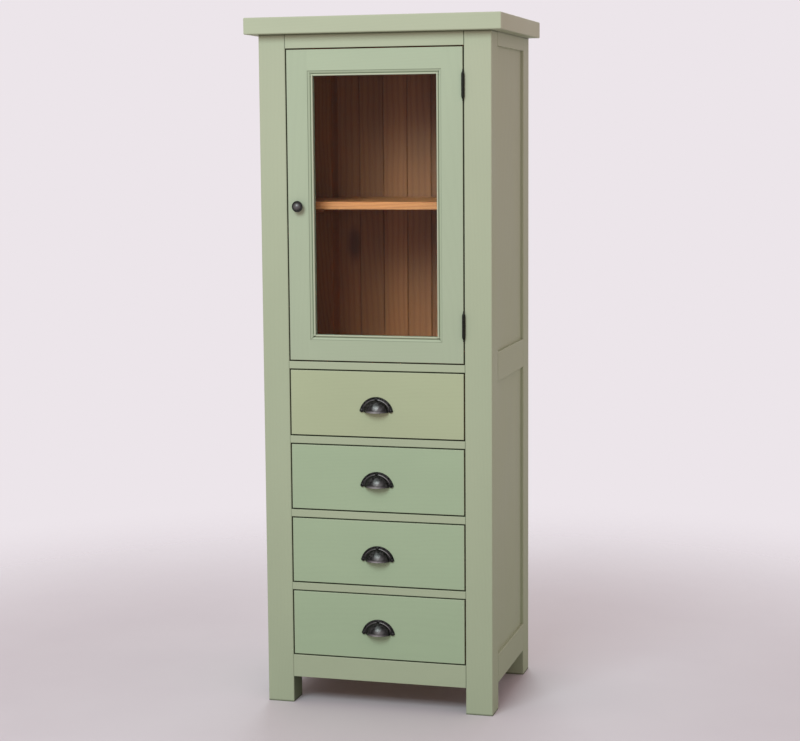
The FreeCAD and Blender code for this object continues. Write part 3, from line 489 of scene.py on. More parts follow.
# %% [markdown]
# The sage coat covers everything that shows. Each board gets its own material, because the pale
# arris needs that board's corners and the grain its direction. The colour is the swatch, clouded
# by the brush, marked a little by the wood below, and paler on the arrises, where it is thin paint
# and a painted highlight. Furrows and rings also go to the bump.

# %% Sage paint
SEED_SHARE = 0.7
ARRIS_WIDTH, ARRIS_SHARE = 2.2 * MM, 0.55
CLOUD_DRIFT = (0.3, 0.7), (0.972, 1.02)
RING_GHOST = (0, 1), (1.006, 0.993)
PAINT_ROUGH = (0.3, 0.7), (0.52, 0.64)
PAINT_GLOSS, RING_RISE = 0.14, 0.35


def board_marks(tree, point, paint, name, reach, cracks_and_shade):
    """The marks of one board: open joints, painted shade, a moulding's lines or pale end grain."""
    if cracks_and_shade:
        paint = cracked_and_shaded(tree, point, paint, *cracks_and_shade)
    if name.startswith(("post_front", "front")):
        paint = in_gap(tree, point, paint, name.startswith("post"))
    if name == "door_moulding":
        paint = moulded(tree, point, paint)
    if name == "top_board":
        paint = end_grain(tree, point, paint, reach)
    return paint


def sage_paint(name, run, low, high, coat=None, folded=False, bare="carcass", cracks_and_shade=None):
    """Brushed paint on one board, in the carcass coat or one of its own."""
    material, tree, surface, point = new_material("sage_" + name)
    grain = along(tree, point, run)
    figure = place(tree, pine_figure, Point=grain, Seed=tuple(SEED_SHARE * v for v in low))
    brush = place(tree, brush_marks, Point=grain)
    box_point = join(tree, measures(tree, point)) if folded else point
    rubbed_and_highlit = place(tree, arris_wear_and_highlight, Point=box_point, Low=low, High=high, Width=ARRIS_WIDTH)["Worn"]

    cloudy = mapped(tree, brush["Cloud"], *CLOUD_DRIFT)
    ghost = mapped(tree, figure["Rings"], *RING_GHOST)
    paint = shaded(tree, coat or coat_with_painted_light(tree, point), times(tree, cloudy, ghost))
    # Paler paint on the arrises: thin paint and a painted highlight.
    paint = blend(tree, times(tree, rubbed_and_highlit, ARRIS_SHARE), paint, THIN_SAGE_AND_HIGHLIGHT)
    paint = board_marks(tree, point, paint, name, high[0], cracks_and_shade)
    if bare:
        paint = coat_stop(tree, point, figure, paint, bare, name, high)
    tree.links.new(paint, surface.inputs["Base Color"])

    rough = mapped(tree, brush["Cloud"], *PAINT_ROUGH)
    height = reckon(tree, "ADD", brush["Furrows"], times(tree, figure["Rings"], RING_RISE))
    feed(tree, surface, rough, height, strength=0.16, depth=0.25 * MM)
    surface.inputs["Specular IOR Level"].default_value = PAINT_GLOSS
    return material


# The pale arris line is thin paint and a painted highlight.
print("arrises worn about", round(ARRIS_WIDTH / MM, 1), "mm wide")

# %% [markdown]
# The carcass is painted board by board: the first list says which way each board's grain runs. A
# node of side rails or panels holds a left and a right piece, so it is folded over and measured as
# the right one. The second list says how dark the lines are: open joints at the shoulders, and
# painted shade under the top and at the foot.

# %% Painted carcass
RAIL_THICK = 28 * MM
POSTS = ("post_front_left", "post_front_right", "post_rear_left", "post_rear_right")
PAINTED = {
    "x": ("top_board", "front_top_rail", "front_bottom_rail", "front_drawer_rails", "rear_rails"),
    "y": ("side_top_rails", "side_middle_rails", "side_bottom_rails"),
    "z": (*POSTS, "side_upper_panels", "side_lower_panels"),
}
# Shares of dark paint: open joints at the shoulders, painted shade under the top and at the foot.
CRACKS_AND_SHADE = {"front_top_rail": (0.95, 0.9), "front_drawer_rails": (0.3, 0), "front_bottom_rail": (0.4, 0),
          "side_top_rails": (0, 0.6), **{name: (0, 0.9, 0.9) for name in POSTS}}
SIDE_INNER = {"y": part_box("side_middle_rails")[1].x - RAIL_THICK, "z": panel_high.x - PANEL_THICK}
for run, names in PAINTED.items():
    for name in names:
        low, high = (list(corner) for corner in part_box(name))
        folded = name.startswith("side")
        if folded:
            low[0] = SIDE_INNER[run]
        dress(name, sage_paint(name, run, low, high, folded=folded, cracks_and_shade=CRACKS_AND_SHADE.get(name)))
print("painted carcass nodes:", sum(len(names) for names in PAINTED.values()))

# %% [markdown]
# The door is painted on both faces, so its boards have no bare inside. Drawer fronts are painted in
# front and on their edges only, and not all from one tin: the first is a touch more olive. The
# lower three are a touch greener, which is painted light, as on the lower carcass.

# %% Painted door and drawer fronts
DOOR_RUNS = {"door_hinge_stile": "z", "door_knob_stile": "z", "door_top_rail": "x", "door_bottom_rail": "x",
             "door_moulding": "z", "door_glazing_beads": "z"}
door_low = list(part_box("door_knob_stile")[0])
door_high = list(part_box("door_hinge_stile")[1])
for name, run in DOOR_RUNS.items():
    dress(name, sage_paint(name, run, door_low, door_high, coat=DOOR_SAGE, bare=None))
FRONT_COATS = {1: OLIVE_SAGE, 2: LEAF_SAGE, 3: LEAF_SAGE, 4: LEAF_SAGE}
for number, coat in FRONT_COATS.items():
    name = f"drawer_{number}_front"
    low, high = (list(corner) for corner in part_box(name))
    dress(name, sage_paint(name, "x", low, high, coat=coat, bare="drawer"))
print("painted door nodes:", len(DOOR_RUNS), "drawer fronts:", len(FRONT_COATS))

# %% [markdown]
# Inside, the wood shows. The shelf and floor are honey-coloured and oiled, the cleats and runners
# are plain, and the drawer boxes are pale planed pine. All of them are the same figure in other
# swatches, so one function makes them. It leaves room for the row of boards in the next step.

# %% Oiled and plain pine
OILED, WAXED, PLANED = 0.38, 0.5, 0.6
RING_POLISH, WOOD_RISE = 0.08, 0.6


def bare_pine(name, run, swatches, rough, cut=None, mark=None):
    """Unpainted pine; cut moves the point that the figure reads, and mark adds to the colour."""
    material, tree, surface, point = new_material("pine_" + name)
    source = cut(tree, point) if cut else point
    figure = place(tree, pine_figure, Point=along(tree, source, run), Seed=(0.11 * len(name), 0.07, 0.2))
    colour = wood_colour(tree, figure, *swatches)
    if mark:
        colour = mark(tree, point, colour)
    tree.links.new(colour, surface.inputs["Base Color"])
    uneven = mapped(tree, figure["Rings"], (0, 1), (rough + RING_POLISH, rough))
    height = reckon(tree, "ADD", figure["Fibre"], times(tree, figure["Rings"], WOOD_RISE))
    feed(tree, surface, uneven, height, strength=0.18, depth=0.2 * MM)
    return material


for name in ("shelf", "cupboard_floor"):
    dress(name, bare_pine(name, "x", WARM_PINE, OILED))
dress("shelf_cleats", bare_pine("shelf_cleats", "y", WARM_PINE, WAXED))
dress("drawer_runners", bare_pine("drawer_runners", "y", PALE_PINE, PLANED))
for number in FRONT_COATS:
    for part, run in (("sides", "y"), ("back", "x"), ("bottom", "x")):
        name = f"drawer_{number}_{part}"
        dress(name, bare_pine(name, run, PALE_PINE, PLANED))
print("drawer boxes:", len(FRONT_COATS))

# %% [markdown]
# The back is a row of tongued boards with a darker stain. Each board moves the figure sideways by
# its own number, so that no two boards match, and has a shade of its own. Dust and painted shade
# darken the joints between them. The outside of the back was never waxed, so it is dull and dusty.

# %% Back boards
BOARD_COUNT = 7
BOARD_STEPS, BOARD_SHADES = (0.31, 0.17, 0.57), (0.84, 1.1)
WIDE_FIGURE = (0.5, 0.5, 0.5)
DUST_SHARE = 0.45
SEAM_LINE = (0.01, 0.05), (0.45, 0)
back_width = (back_high.x - back_low.x) / BOARD_COUNT


def board_of(tree, point):
    """How far along the row a point lies, counted in boards, and the number of its board."""
    beyond = reckon(tree, "SUBTRACT", split(tree, point)["X"], back_low.x)
    boards = reckon(tree, "DIVIDE", beyond, back_width)
    return boards, reckon(tree, "FLOOR", boards)


def row_cut(tree, point):
    """The point stretched, and shifted by steps of its board's number."""
    number = board_of(tree, point)[1]
    shift = join(tree, [times(tree, number, step) for step in BOARD_STEPS])
    return vector(tree, "ADD", stretched(tree, point, WIDE_FIGURE), shift)


def row_mark(tree, point, colour):
    """Dust on the outside, a shade for each board, and dust and painted shade along the joints."""
    boards, number = board_of(tree, point)
    outside = reckon(tree, "GREATER_THAN", split(tree, point)["Y"], (back_low.y + back_high.y) / 2)
    colour = blend(tree, times(tree, outside, DUST_SHARE), colour, DUSTY_PINE)
    own = add(tree, "TexWhiteNoise", {"W": number}, noise_dimensions="1D").outputs["Value"]
    colour = shaded(tree, colour, mapped(tree, own, (0, 1), BOARD_SHADES))
    from_seam = reckon(tree, "PINGPONG", reckon(tree, "SUBTRACT", boards, number), 0.5)
    # The dark line along the joints is dust and painted shade in the grooves.
    return blend(tree, mapped(tree, from_seam, *SEAM_LINE, "SMOOTHSTEP"), colour, KNOT)


dress("back_boards", bare_pine("back_boards", "z", BROWN_PINE, WAXED, row_cut, row_mark))
print("back boards are", round(back_width / MM, 1), "mm wide")

# %% [markdown]
# The metal is plain: dark cast pewter for the pulls and the knob, black iron for the hinges, zinc
# on the screws. A casting is never even, so noise moves both the colour and the roughness, and an
# attribute that the surfaces below carry brightens the knob's rubbed dome and paints highlights and
# a reflection on the pulls. The catch's brown plastic is made the same way.

# %% Metals and plastic
CAST_SCALE, GRIT_SCALE = 160, 900
CAST_SHARE = (0.35, 0.75), (0, 0.12)
RUB_AND_HIGHLIGHT_SHARE, GRIT_RISE = 0.9, 0.3
SMOOTHER, ROUGHER = 0.08, 0.1


def metal(name, dark, light, rough, rub_and_highlight=False, metallic=1):
    """Two tones and a roughness moved by noise, brighter where the attribute marks rubbed metal and painted
    highlights.
    """
    material, tree, surface, point = new_material(name)
    cast = noise(tree, point, CAST_SCALE, 4)
    grit = noise(tree, point, GRIT_SCALE, 3)
    share = mapped(tree, cast, *CAST_SHARE)
    if rub_and_highlight:
        # The attribute: the knob's rubbed dome, and the pulls' painted highlights and reflection.
        crest = add(tree, "Attribute", attribute_name="rub_and_highlight").outputs["Fac"]
        share = reckon(tree, "MAXIMUM", share, times(tree, crest, RUB_AND_HIGHLIGHT_SHARE))
    tree.links.new(blend(tree, share, dark, light), surface.inputs["Base Color"])
    uneven = mapped(tree, cast, (0.3, 0.7), (rough - SMOOTHER, rough + ROUGHER))
    height = reckon(tree, "ADD", cast, times(tree, grit, GRIT_RISE))
    feed(tree, surface, uneven, height, strength=0.14, depth=0.2 * MM)
    surface.inputs["Metallic"].default_value = metallic
    return material


pewter = metal("cast_pewter", tone(25, 26, 24), tone(180, 176, 174), 0.38, rub_and_highlight=True)
black_iron = metal("black_iron", tone(38, 38, 34), tone(84, 82, 72), 0.42)
zinc = metal("zinc_steel", tone(150, 150, 148), tone(190, 188, 182), 0.35)
plastic = metal("brown_plastic", tone(74, 50, 36), tone(96, 68, 50), 0.45, metallic=0)
for name in ("hinge_post_leaves", "hinge_door_leaves"):
    dress(name, black_iron)
for name in ("hinge_post_screws", "hinge_door_screws", "door_knob_screw", "door_catch_plate",
             *(f"drawer_{number}_pull_screws" for number in FRONT_COATS)):
    dress(name, zinc)
dress("door_catch", plastic)
print("metal finishes:", [m.name for m in (pewter, black_iron, zinc, plastic)])

# %% [markdown]
# The pane is thin drawn glass. It lets the light through, so its shadow must not be solid: for
# shadow rays the surface is mixed with a clear one. Very slow noise bends the surface a little, as
# in old panes, and a trace of wiping shows in its roughness.

# %% Glass
WAVE_STRETCH, WIPE_STRETCH = (5, 5, 2.5), (30, 30, 9)
WIPE_ROUGH = (0.45, 0.8), (0, 0.012)
PANE_IOR = 1.15


def see_through(tree, surface, share, colour=(1, 1, 1, 1)):
    """Let a share of the rays pass straight through a surface."""
    clear = add(tree, "BsdfTransparent", {"Color": colour})
    mixed = add(tree, "MixShader", {0: share, 1: surface.outputs[0], 2: clear.outputs[0]})
    tree.links.new(mixed.outputs[0], tree.get_output_node("ALL").inputs["Surface"])


glass, tree, surface, point = new_material("clear_glass")
wave = noise(tree, stretched(tree, point, WAVE_STRETCH))
wiped = noise(tree, stretched(tree, point, WIPE_STRETCH), detail=5)
feed(tree, surface, mapped(tree, wiped, *WIPE_ROUGH), wave, strength=0.1, depth=0.3 * MM)
surface.inputs["Base Color"].default_value = tone(246, 250, 247)
surface.inputs["Transmission Weight"].default_value = 1
surface.inputs["IOR"].default_value = PANE_IOR
see_through(tree, surface, add(tree, "LightPath").outputs["Is Shadow Ray"], tone(240, 246, 242))
dress("door_glass", glass)
print("glass on", nodes["door_glass"].name)

# %% [markdown]
# The small castings are made again as surfaces, because a turned or cast form needs soft shading
# that flat facets can't give. Every one is an array of points over two parameters. The first
# helper joins such grids into one mesh, welds seams and poles, and turns the faces outwards. The
# others carry a profile round an axis and draw the round stretches of a profile.

# %% Helpers: grids of points into one smooth mesh
WELD, SLIVER = 0.005 * MM, 0.002 * MM
SHARP_ANGLE = math.radians(35)


def solid_from_grids(name, material, grids, rub_and_highlight=()):
    """Join grids of points (rows, columns, 3), weld what coincides and shade it softly.

    The faces of a grid are its cells: corners (i, j), (i + 1, j), (i + 1, j + 1) and (i, j + 1).
    The first grid may come with the share that brightens each of its points, for rubbed metal and for
    painted highlights.
    """
    faces, base = [], 0
    for grid in grids:
        rows, columns = grid.shape[:2]
        number = base + np.arange(rows * columns).reshape(rows, columns)
        cells = np.stack([number[:-1, :-1], number[1:, :-1], number[1:, 1:], number[:-1, 1:]], axis=-1)
        faces.append(cells.reshape(-1, 4))
        base += rows * columns
    points = np.concatenate([grid.reshape(-1, 3) for grid in grids])
    shares = np.zeros(base, np.float32)
    shares[:np.size(rub_and_highlight)] = np.ravel(rub_and_highlight)
    mesh = bpy.data.meshes.new(name)
    mesh.from_pydata(points, [], np.concatenate(faces).tolist())
    mesh.attributes.new("rub_and_highlight", "FLOAT", "POINT").data.foreach_set("value", shares)
    work = bmesh.new()
    work.from_mesh(mesh)
    bmesh.ops.remove_doubles(work, verts=work.verts, dist=WELD)
    bmesh.ops.dissolve_degenerate(work, edges=work.edges, dist=SLIVER)
    bmesh.ops.recalc_face_normals(work, faces=work.faces)
    work.to_mesh(mesh)
    work.free()
    mesh.shade_smooth()
    mesh.set_sharp_from_angle(angle=SHARP_ANGLE)
    mesh.materials.append(material)
    made = bpy.data.objects.new(name, mesh)
    bpy.context.scene.collection.objects.link(made)
    return made


def turned(profile, centre, axis, count):
    """A lathe: each (radius, height) of the profile carried round the axis, as one grid."""
    angle = np.linspace(0, 2 * np.pi, count + 1)
    radius, height = np.asarray(profile, float).T
    across = radius[:, None] * np.cos(angle)
    over = radius[:, None] * np.sin(angle)
    up = np.repeat(height[:, None], count + 1, axis=1)
    order = {"-y": (across, -up, over), "z": (across, over, up), "+y": (across, up, over)}[axis]
    return np.stack(order, axis=-1) + np.asarray(centre)


def arc(middle, radius, start, stop, count):
    """Points on a circle from one angle to another, in degrees."""
    angle = np.radians(np.linspace(start, stop, count))
    return np.stack([middle[0] + radius * np.cos(angle), middle[1] + radius * np.sin(angle)], axis=-1)


print("surface helpers ready")

# %% [markdown]
# A cup pull is a half-round plate with a bowl cast on it, open below so that fingers can reach in.
# One parameter goes round from the right tip over the top to the left tip. The other runs inwards:
# over the rounded rim, up the step, over the tight shoulder and along the flat crown to the middle
# of the lower edge, where all the lines meet. A point is a radius and an angle about that middle,
# and a height off the drawer. The sizes are millimetres.

# %% Outer sheet of a cup pull
PLATE_RADIUS, PLATE_DROP, PLATE_THICK = 47.4, 6.4, 2.5
TIP_LIFT, TIP_BLEND = 2.5, 3
RIM_ROUND, STEP_ROUND = 1.2, 1.1
STEP_IN, STEP_RISE = 6, 2
CUP_RADIUS, CUP_RISE = 33, 24
SHOULDER, CROWN, COLLAR = 12, 41, 3
ROUND_ROWS, FLAT_ROWS = np.array([0, 0.05, 0.2, 0.45, 0.8, 1.2]), np.linspace(2.5, 5.9, 5)
AROUND = np.linspace(0, 1, 121)[None, :]
inset = CUP_RADIUS - SHOULDER
knee = 90 - math.degrees(math.asin(inset / (CROWN - SHOULDER)))
spring = math.degrees(math.asin((PLATE_THICK + STEP_RISE - COLLAR) / SHOULDER))


def quarter_round(distance, width):
    """0 at the edge, 1 from width on, with a round shoulder: the height of a quarter circle."""
    share = np.clip(distance / width, 0, 1)
    return np.sqrt(1 - (1 - share) ** 2)


def fan(radius):
    """Angles from tip to tip; outside the bowl they end at the plate's raised lower edge."""
    reach = np.clip((radius - CUP_RADIUS) / TIP_BLEND, 0, 1)
    least = np.arcsin(TIP_LIFT * reach * reach * (3 - 2 * reach) / radius)
    return least + (np.pi - 2 * least) * AROUND


def plate_sheet():
    """Radii and heights of the plate, and how far each point lies inside its rim.

    The rim is a circle whose centre lies below the lower edge. The rim's edge and the step are
    quarter rounds, and the last rows run straight to the foot of the bowl.
    """
    turn = fan(np.full((1, 1), PLATE_RADIUS))
    rim = -PLATE_DROP * np.sin(turn) + np.sqrt(PLATE_RADIUS ** 2 - (PLATE_DROP * np.cos(turn)) ** 2)
    rows = np.concatenate([ROUND_ROWS, FLAT_ROWS, STEP_IN + ROUND_ROWS])[:, None]
    last = np.linspace(0.1, 1, 7)[:, None]
    foot = inset + SHOULDER * math.cos(math.radians(spring))
    radius = np.concatenate([rim - rows, (rim - rows[-1]) * (1 - last) + foot * last])
    inward = rim - radius
    height = PLATE_THICK * quarter_round(inward, RIM_ROUND)
    return radius, height + STEP_RISE * quarter_round(inward - STEP_IN, STEP_ROUND), inward


def bowl_sheet(begin, wall=0):
    """Radii and heights of the bowl: an arc over the shoulder, then the crown's arc to the middle."""
    line = np.concatenate([arc((inset, COLLAR), SHOULDER - wall, begin, knee, 12)[1:],
                           arc((0, CUP_RISE - CROWN), CROWN - wall, knee, 90, 16)[1:]])
    return [np.repeat(column[:, None], AROUND.size, axis=1) for column in line.T]


print("plate rows:", len(plate_sheet()[0]), "bowl rows:", len(bowl_sheet(spring)[0]))

# %% [markdown]
# Inside, the same lines run a wall's thickness lower, and the back of the plate lies flat on the
# drawer. A casting is never quite true, so slow waves dent the bowl a little, and a pip stands
# where the metal was poured. Rubbing and a painted highlight brighten the step, more on the right
# than on the left, and the marks in the list are a painted highlight on the bowl and a painted
# reflection along the lip, each a share, a middle and a size.

# %% Inside, dents, and rubbed and highlit places of a cup pull
WALL = 2.4
PIP_PLACE, PIP_RISE, PIP_RADIUS, PIP_CLEAR = 35, 1.2, 2.1, 3
DENT_REACHES, DENT_SHARE, DENT_BORDER = (14, 9, 6.5), 0.05 / 9, 6
RIDGE_RUB_AND_HIGHLIGHT, RIDGE_IN, RIDGE_WIDTH = 0.6, 7, 1.3
RIDGE_TURN, RIDGE_FOOT, RIDGE_FADE = 60, 6, 18
HIGHLIGHT_MARKS = {"bowl_highlight": (0.4, (7, 10), (12, 8)), "lip": (0.9, (0, 0), (20, 4.5))}
LEAST_RADIUS = 0.01


def inner_sheet(rim, rows):
    """Radii and heights of the flat back, the upright collar and the inside of the bowl."""
    back = rim - (rim - (CUP_RADIUS - WALL)) * np.linspace(0, 1, rows - 2)[:, None]
    upright = np.full((2, AROUND.size), CUP_RADIUS - WALL)
    climb = np.array([[COLLAR / 2], [COLLAR]]) + np.zeros_like(upright)
    bowl, rise = bowl_sheet(0, WALL)
    return np.concatenate([back, upright, bowl]), np.concatenate([np.zeros_like(back), climb, rise])


def dents(across, above):
    """Slight unevenness: cosine waves of three lengths, each in three chance directions."""
    rng = np.random.default_rng(7)
    depth = np.zeros_like(across)
    for reach in DENT_REACHES:
        direction, phase = rng.uniform(0, np.pi, 3), rng.uniform(0, 2 * np.pi, 3)
        for way, offset in zip(direction, phase):
            wave = across * np.cos(way) + above * np.sin(way)
            depth += DENT_SHARE * reach * np.cos(2 * np.pi * wave / reach + offset)
    return depth


def bell(distance, width):
    """1 in the middle, falling off on both sides within about a width."""
    return np.exp(-(distance / width) ** 2)


def rub_and_highlight_share(across, above, inward, from_pip):
    """How much each point is brightened: the step, rubbed and with a painted highlight, then the painted
    marks on bowl and lip.
    """
    rows = len(inward)
    # The step: rubbed, with a painted highlight that is stronger on the right, where the light catches it.
    ridge = RIDGE_RUB_AND_HIGHLIGHT * bell(inward - RIDGE_IN, RIDGE_WIDTH)
    ridge *= np.clip(from_pip[:rows] / PIP_CLEAR - 1, 0, 1)
    ridge *= np.clip(0.75 + across[:rows] / RIDGE_TURN, 0.5, 1)
    ridge *= np.clip((above[:rows] - RIDGE_FOOT) / RIDGE_FADE, 0, 1)
    # A painted highlight on the bowl and a painted reflection along the lip.
    marks = [share * bell(across - x, wide) * bell(above - z, tall)
             for share, (x, z), (wide, tall) in HIGHLIGHT_MARKS.values()]
    return np.concatenate([ridge, np.maximum(*marks)[rows:]])


print("dent depth in mm:", [round(DENT_SHARE * reach, 3) for reach in DENT_REACHES])

# %% [markdown]
# Both sheets are now set on the drawer, and two strips close the shell along its lower edge. A
# round lug with a domed head ends the plate on either side: a small turning, sunk into the plate.
# One pull is made for each drawer, at its node's own place.

# %% Cup pulls
LUG_OUT, LUG_UP, LUG_SIDES = 40 * MM, 5 * MM, 28
LUG = np.concatenate([[(5.3, 0)], arc((4.1, 3.4), 1.4, -10, 55, 5), arc((0, 0), 6, 48, 90, 8)])


def cup_pull_grids(centre):
    """The sheets and strips of one pull, and how much rubbing and painted highlights brighten its outer
    sheet.
    """
    plate_r, plate_h, inward = plate_sheet()
    bowl_r, bowl_h = bowl_sheet(spring)
    outer_r = np.concatenate([plate_r, bowl_r])
    outer_h = np.concatenate([plate_h, bowl_h])
    inner_r, inner_h = inner_sheet(plate_r[:1], len(plate_r))
    outer_turn, inner_turn = (fan(np.maximum(radius, LEAST_RADIUS)) for radius in (outer_r, inner_r))
    across = outer_r * np.cos(outer_turn)
    above = outer_r * np.sin(outer_turn)
    from_pip = np.hypot(across, above - PIP_PLACE)
    on_bowl = np.clip((outer_h - DENT_BORDER) / DENT_BORDER, 0, 1)
    on_bowl *= np.clip(outer_r / DENT_BORDER, 0, 1)
    outer_h = outer_h + dents(across, above) * on_bowl + PIP_RISE * np.exp(-(from_pip / PIP_RADIUS) ** 4)
    outer, inner = (np.stack([r * np.cos(t), -h, r * np.sin(t)], axis=-1) * MM + np.asarray(centre)
                    for r, h, t in ((outer_r, outer_h, outer_turn), (inner_r, inner_h, inner_turn)))
    strips = [np.stack([outer[:, column], inner[:, column]], axis=1) for column in (0, -1)]
    return [outer, inner, *strips], rub_and_highlight_share(across, above, inward, from_pip)


pulls = []
for number in FRONT_COATS:
    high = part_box(f"drawer_{number}_cup_pull")[1]
    foot_z = high.z - (PLATE_RADIUS - PLATE_DROP) * MM
    grids, rubbed_and_highlit = cup_pull_grids((0, high.y, foot_z))
    for side in (-1, 1):
        grids.append(turned(LUG * MM, (side * LUG_OUT, high.y, foot_z + LUG_UP), "-y", LUG_SIDES))
    pull = solid_from_grids(f"drawer_{number}_pull_casting", pewter, grids, rubbed_and_highlit)
    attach(pull, f"drawer_{number}")
    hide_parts(f"drawer_{number}_cup_pull")
    pulls.append(pull)
print("pulls:", [(p.name, len(p.data.polygons)) for p in pulls])

# %% [markdown]
# The knob is turned: a flared foot, a thin neck, a mushroom rim and a domed face that rises from a
# narrow ledge. Each round stretch of its profile is a middle, a radius, two angles and a count of
# points. Fingers polish the dome and leave the rim dark.

# %% Knob
KNOB_RISE, KNOB_SIDES, FOOT_RADIUS = 24, 56, 8.6
KNOB_ROUNDS = {
    "foot": ((FOOT_RADIUS, 0.5), 0.5, -90, 0, 4),
    "bead": ((8.4, 1.9), 0.7, -10, 100, 5),
    "cove": ((9, 6.5), 4, 265, 180, 10),
    "neck": ((6.2, 9.5), 1.2, 180, 110, 5),
    "rim": ((11.96, 15), 3, -48, 42, 12),
}
LEDGE, LEDGE_OUTER, LEDGE_INNER = 17, 13.9, 12
DOME_RADIUS, DOME_FOOT = 13.11, 11.6
DOME_RUB, RUB_FALL, RUB_BLEND = 0.34, 0.6, 0.2
low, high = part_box("door_knob")
knob_centre = ((low.x + high.x) / 2, high.y, (low.z + high.z) / 2)
dome_middle = KNOB_RISE - DOME_RADIUS
dome_start = math.degrees(math.asin((LEDGE - dome_middle) / DOME_RADIUS))
profile = np.concatenate([
    [(0, 0), (FOOT_RADIUS, 0)], *(arc(*stretch) for stretch in KNOB_ROUNDS.values()),
    [(LEDGE_OUTER, LEDGE), (LEDGE_INNER, LEDGE)], arc((0, dome_middle), DOME_RADIUS, dome_start, 90, 16)])
on_dome = np.clip((profile[:, 1] - LEDGE) / RUB_BLEND, 0, 1)
crest = DOME_RUB * on_dome * (1 - (profile[:, 0] / DOME_FOOT) ** 2 * RUB_FALL)
knob = solid_from_grids("door_knob_turning", pewter, [turned(profile * MM, knob_centre, "-y", KNOB_SIDES)],
                        np.repeat(crest[:, None], KNOB_SIDES + 1, axis=1))
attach(knob, "door")
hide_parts("door_knob")
print("knob:", len(knob.data.polygons), "faces")

# %% [markdown]
# Each hinge is held by a pin with a turned finial at both ends: a collar as wide as the barrel, a
# waisted cone and a small ball. Inside the barrel the profile runs at the pin's own radius.

# %% Hinge pins
HALF_BARREL, FINIAL_HEIGHT, PIN_SIDES = 28, 12.7, 32
PIN_RADIUS, COLLAR_RADIUS, BALL = 2.1, 3.9, 1.7
WAIST_WIDE, WAIST_THIN, WAIST_POWER = 4, 1.2, 1.15
WAIST_FOOT, WAIST_LENGTH = HALF_BARREL + 1.9, 7.6
pin_low, pin_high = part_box("hinge_pins")
axis_x, axis_y = (pin_low.x + pin_high.x) / 2, (pin_low.y + pin_high.y) / 2
t = np.linspace(0, 1, 9)[:, None]
waist = np.concatenate([WAIST_THIN + (WAIST_WIDE - WAIST_THIN) * (1 - t) ** WAIST_POWER,
                        WAIST_FOOT + WAIST_LENGTH * t], axis=1)
finial = np.concatenate([
    [(PIN_RADIUS, HALF_BARREL - 1), (PIN_RADIUS, HALF_BARREL), (COLLAR_RADIUS, HALF_BARREL)],
    arc((3.6, HALF_BARREL + 1), 0.6, -60, 60, 6), waist,
    arc((0, HALF_BARREL + FINIAL_HEIGHT - BALL), BALL, -45, 90, 9)])
pin_profile = np.concatenate([(finial * (1, -1))[::-1], finial])
pin_profile[[0, -1], 0] = 0
half_pin = (HALF_BARREL + FINIAL_HEIGHT) * MM
hinge_middles = [pin_low.z + half_pin, pin_high.z - half_pin]
pin_grids = [turned(pin_profile * MM, (axis_x, axis_y, z), "z", PIN_SIDES) for z in hinge_middles]
pins = solid_from_grids("hinge_finial_pins", black_iron, pin_grids)
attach(pins, "carcass")
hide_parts("hinge_pins")
print("hinge pins:", len(pins.data.polygons), "faces")

# %% [markdown]
# Behind, each back board is held to the three rear rails by two nails at every crossing. Their
# heads are shallow domes, so one small lathe grid is repeated at all forty-two places.

# %% Nails of the back boards
NAIL_SHARE, NAIL_SIDES = 0.24, 12
NAIL_HEAD = np.concatenate([[(3, -0.4), (3, 0.1)], arc((0, -3.4), 4.6, 49, 90, 4)])
rail_low, rail_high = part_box("rear_rails")
rail_height = rail_high.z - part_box("front_top_rail")[0].z
middle_rail_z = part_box("cupboard_floor")[0].z - rail_height / 2
nail_z = np.array([rail_low.z + rail_height / 2, middle_rail_z, rail_high.z - rail_height / 2])
board_x = back_low.x + back_width * (np.arange(BOARD_COUNT) + 0.5)
nail_x = np.concatenate([board_x - NAIL_SHARE * back_width, board_x + NAIL_SHARE * back_width])
grids = [turned(NAIL_HEAD * MM, (x, back_high.y, z), "+y", NAIL_SIDES) for x in nail_x for z in nail_z]
nails = solid_from_grids("back_board_nails", zinc, grids)
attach(nails, "carcass")
print("nails:", len(grids))

# %% [markdown]
# The studio is plain. The floor is a pale disc: rings of points whose radius grows as the power 1.5
# of the row, finest near the cabinet. It fades out before its edge shows. The camera, mirrors and
# glass see its pale tone, while the light that it throws back is greener and weaker.

# %% Floor
FLOOR_REACH, FLOOR_POWER, FLOOR_ROWS, FLOOR_SPOKES = 9, 1.5, 25, 65
FLOOR_FADE = (1, 2.8), (0, 1)
FLOOR_PALE, FLOOR_SPECK, FLOOR_BOUNCE = tone(214, 208, 214), tone(207, 200, 207), tone(150, 158, 150)
SPECK_SCALE, FLOOR_ROUGH = 3, 0.7


def seen_rays(tree):
    """1 for the rays that show a background: from the camera, off a mirror or through glass."""
    path = add(tree, "LightPath").outputs
    return carry(tree, "MAXIMUM", [path[f"Is {kind} Ray"] for kind in ("Camera", "Glossy", "Transmission")])


ring, spoke = np.meshgrid(np.linspace(0, 1, FLOOR_ROWS) ** FLOOR_POWER * FLOOR_REACH,
                          np.linspace(0, 2 * np.pi, FLOOR_SPOKES), indexing="ij")
floor_grid = np.stack([ring * np.cos(spoke), ring * np.sin(spoke), np.zeros_like(ring)], axis=-1)
floor_paint, tree, surface, point = new_material("studio_floor")
floor = solid_from_grids("studio_floor", floor_paint, [floor_grid])
if floor.data.polygons[-1].normal.z < 0:
    floor.data.flip_normals()
shown_tone = blend(tree, noise(tree, point, SPECK_SCALE, 3), FLOOR_PALE, FLOOR_SPECK)
tree.links.new(blend(tree, seen_rays(tree), FLOOR_BOUNCE, shown_tone), surface.inputs["Base Color"])
surface.inputs["Roughness"].default_value = FLOOR_ROUGH
far = add(tree, "VectorMath", {0: point}, operation="LENGTH").outputs["Value"]
see_through(tree, surface, mapped(tree, far, *FLOOR_FADE, "SMOOTHSTEP"))
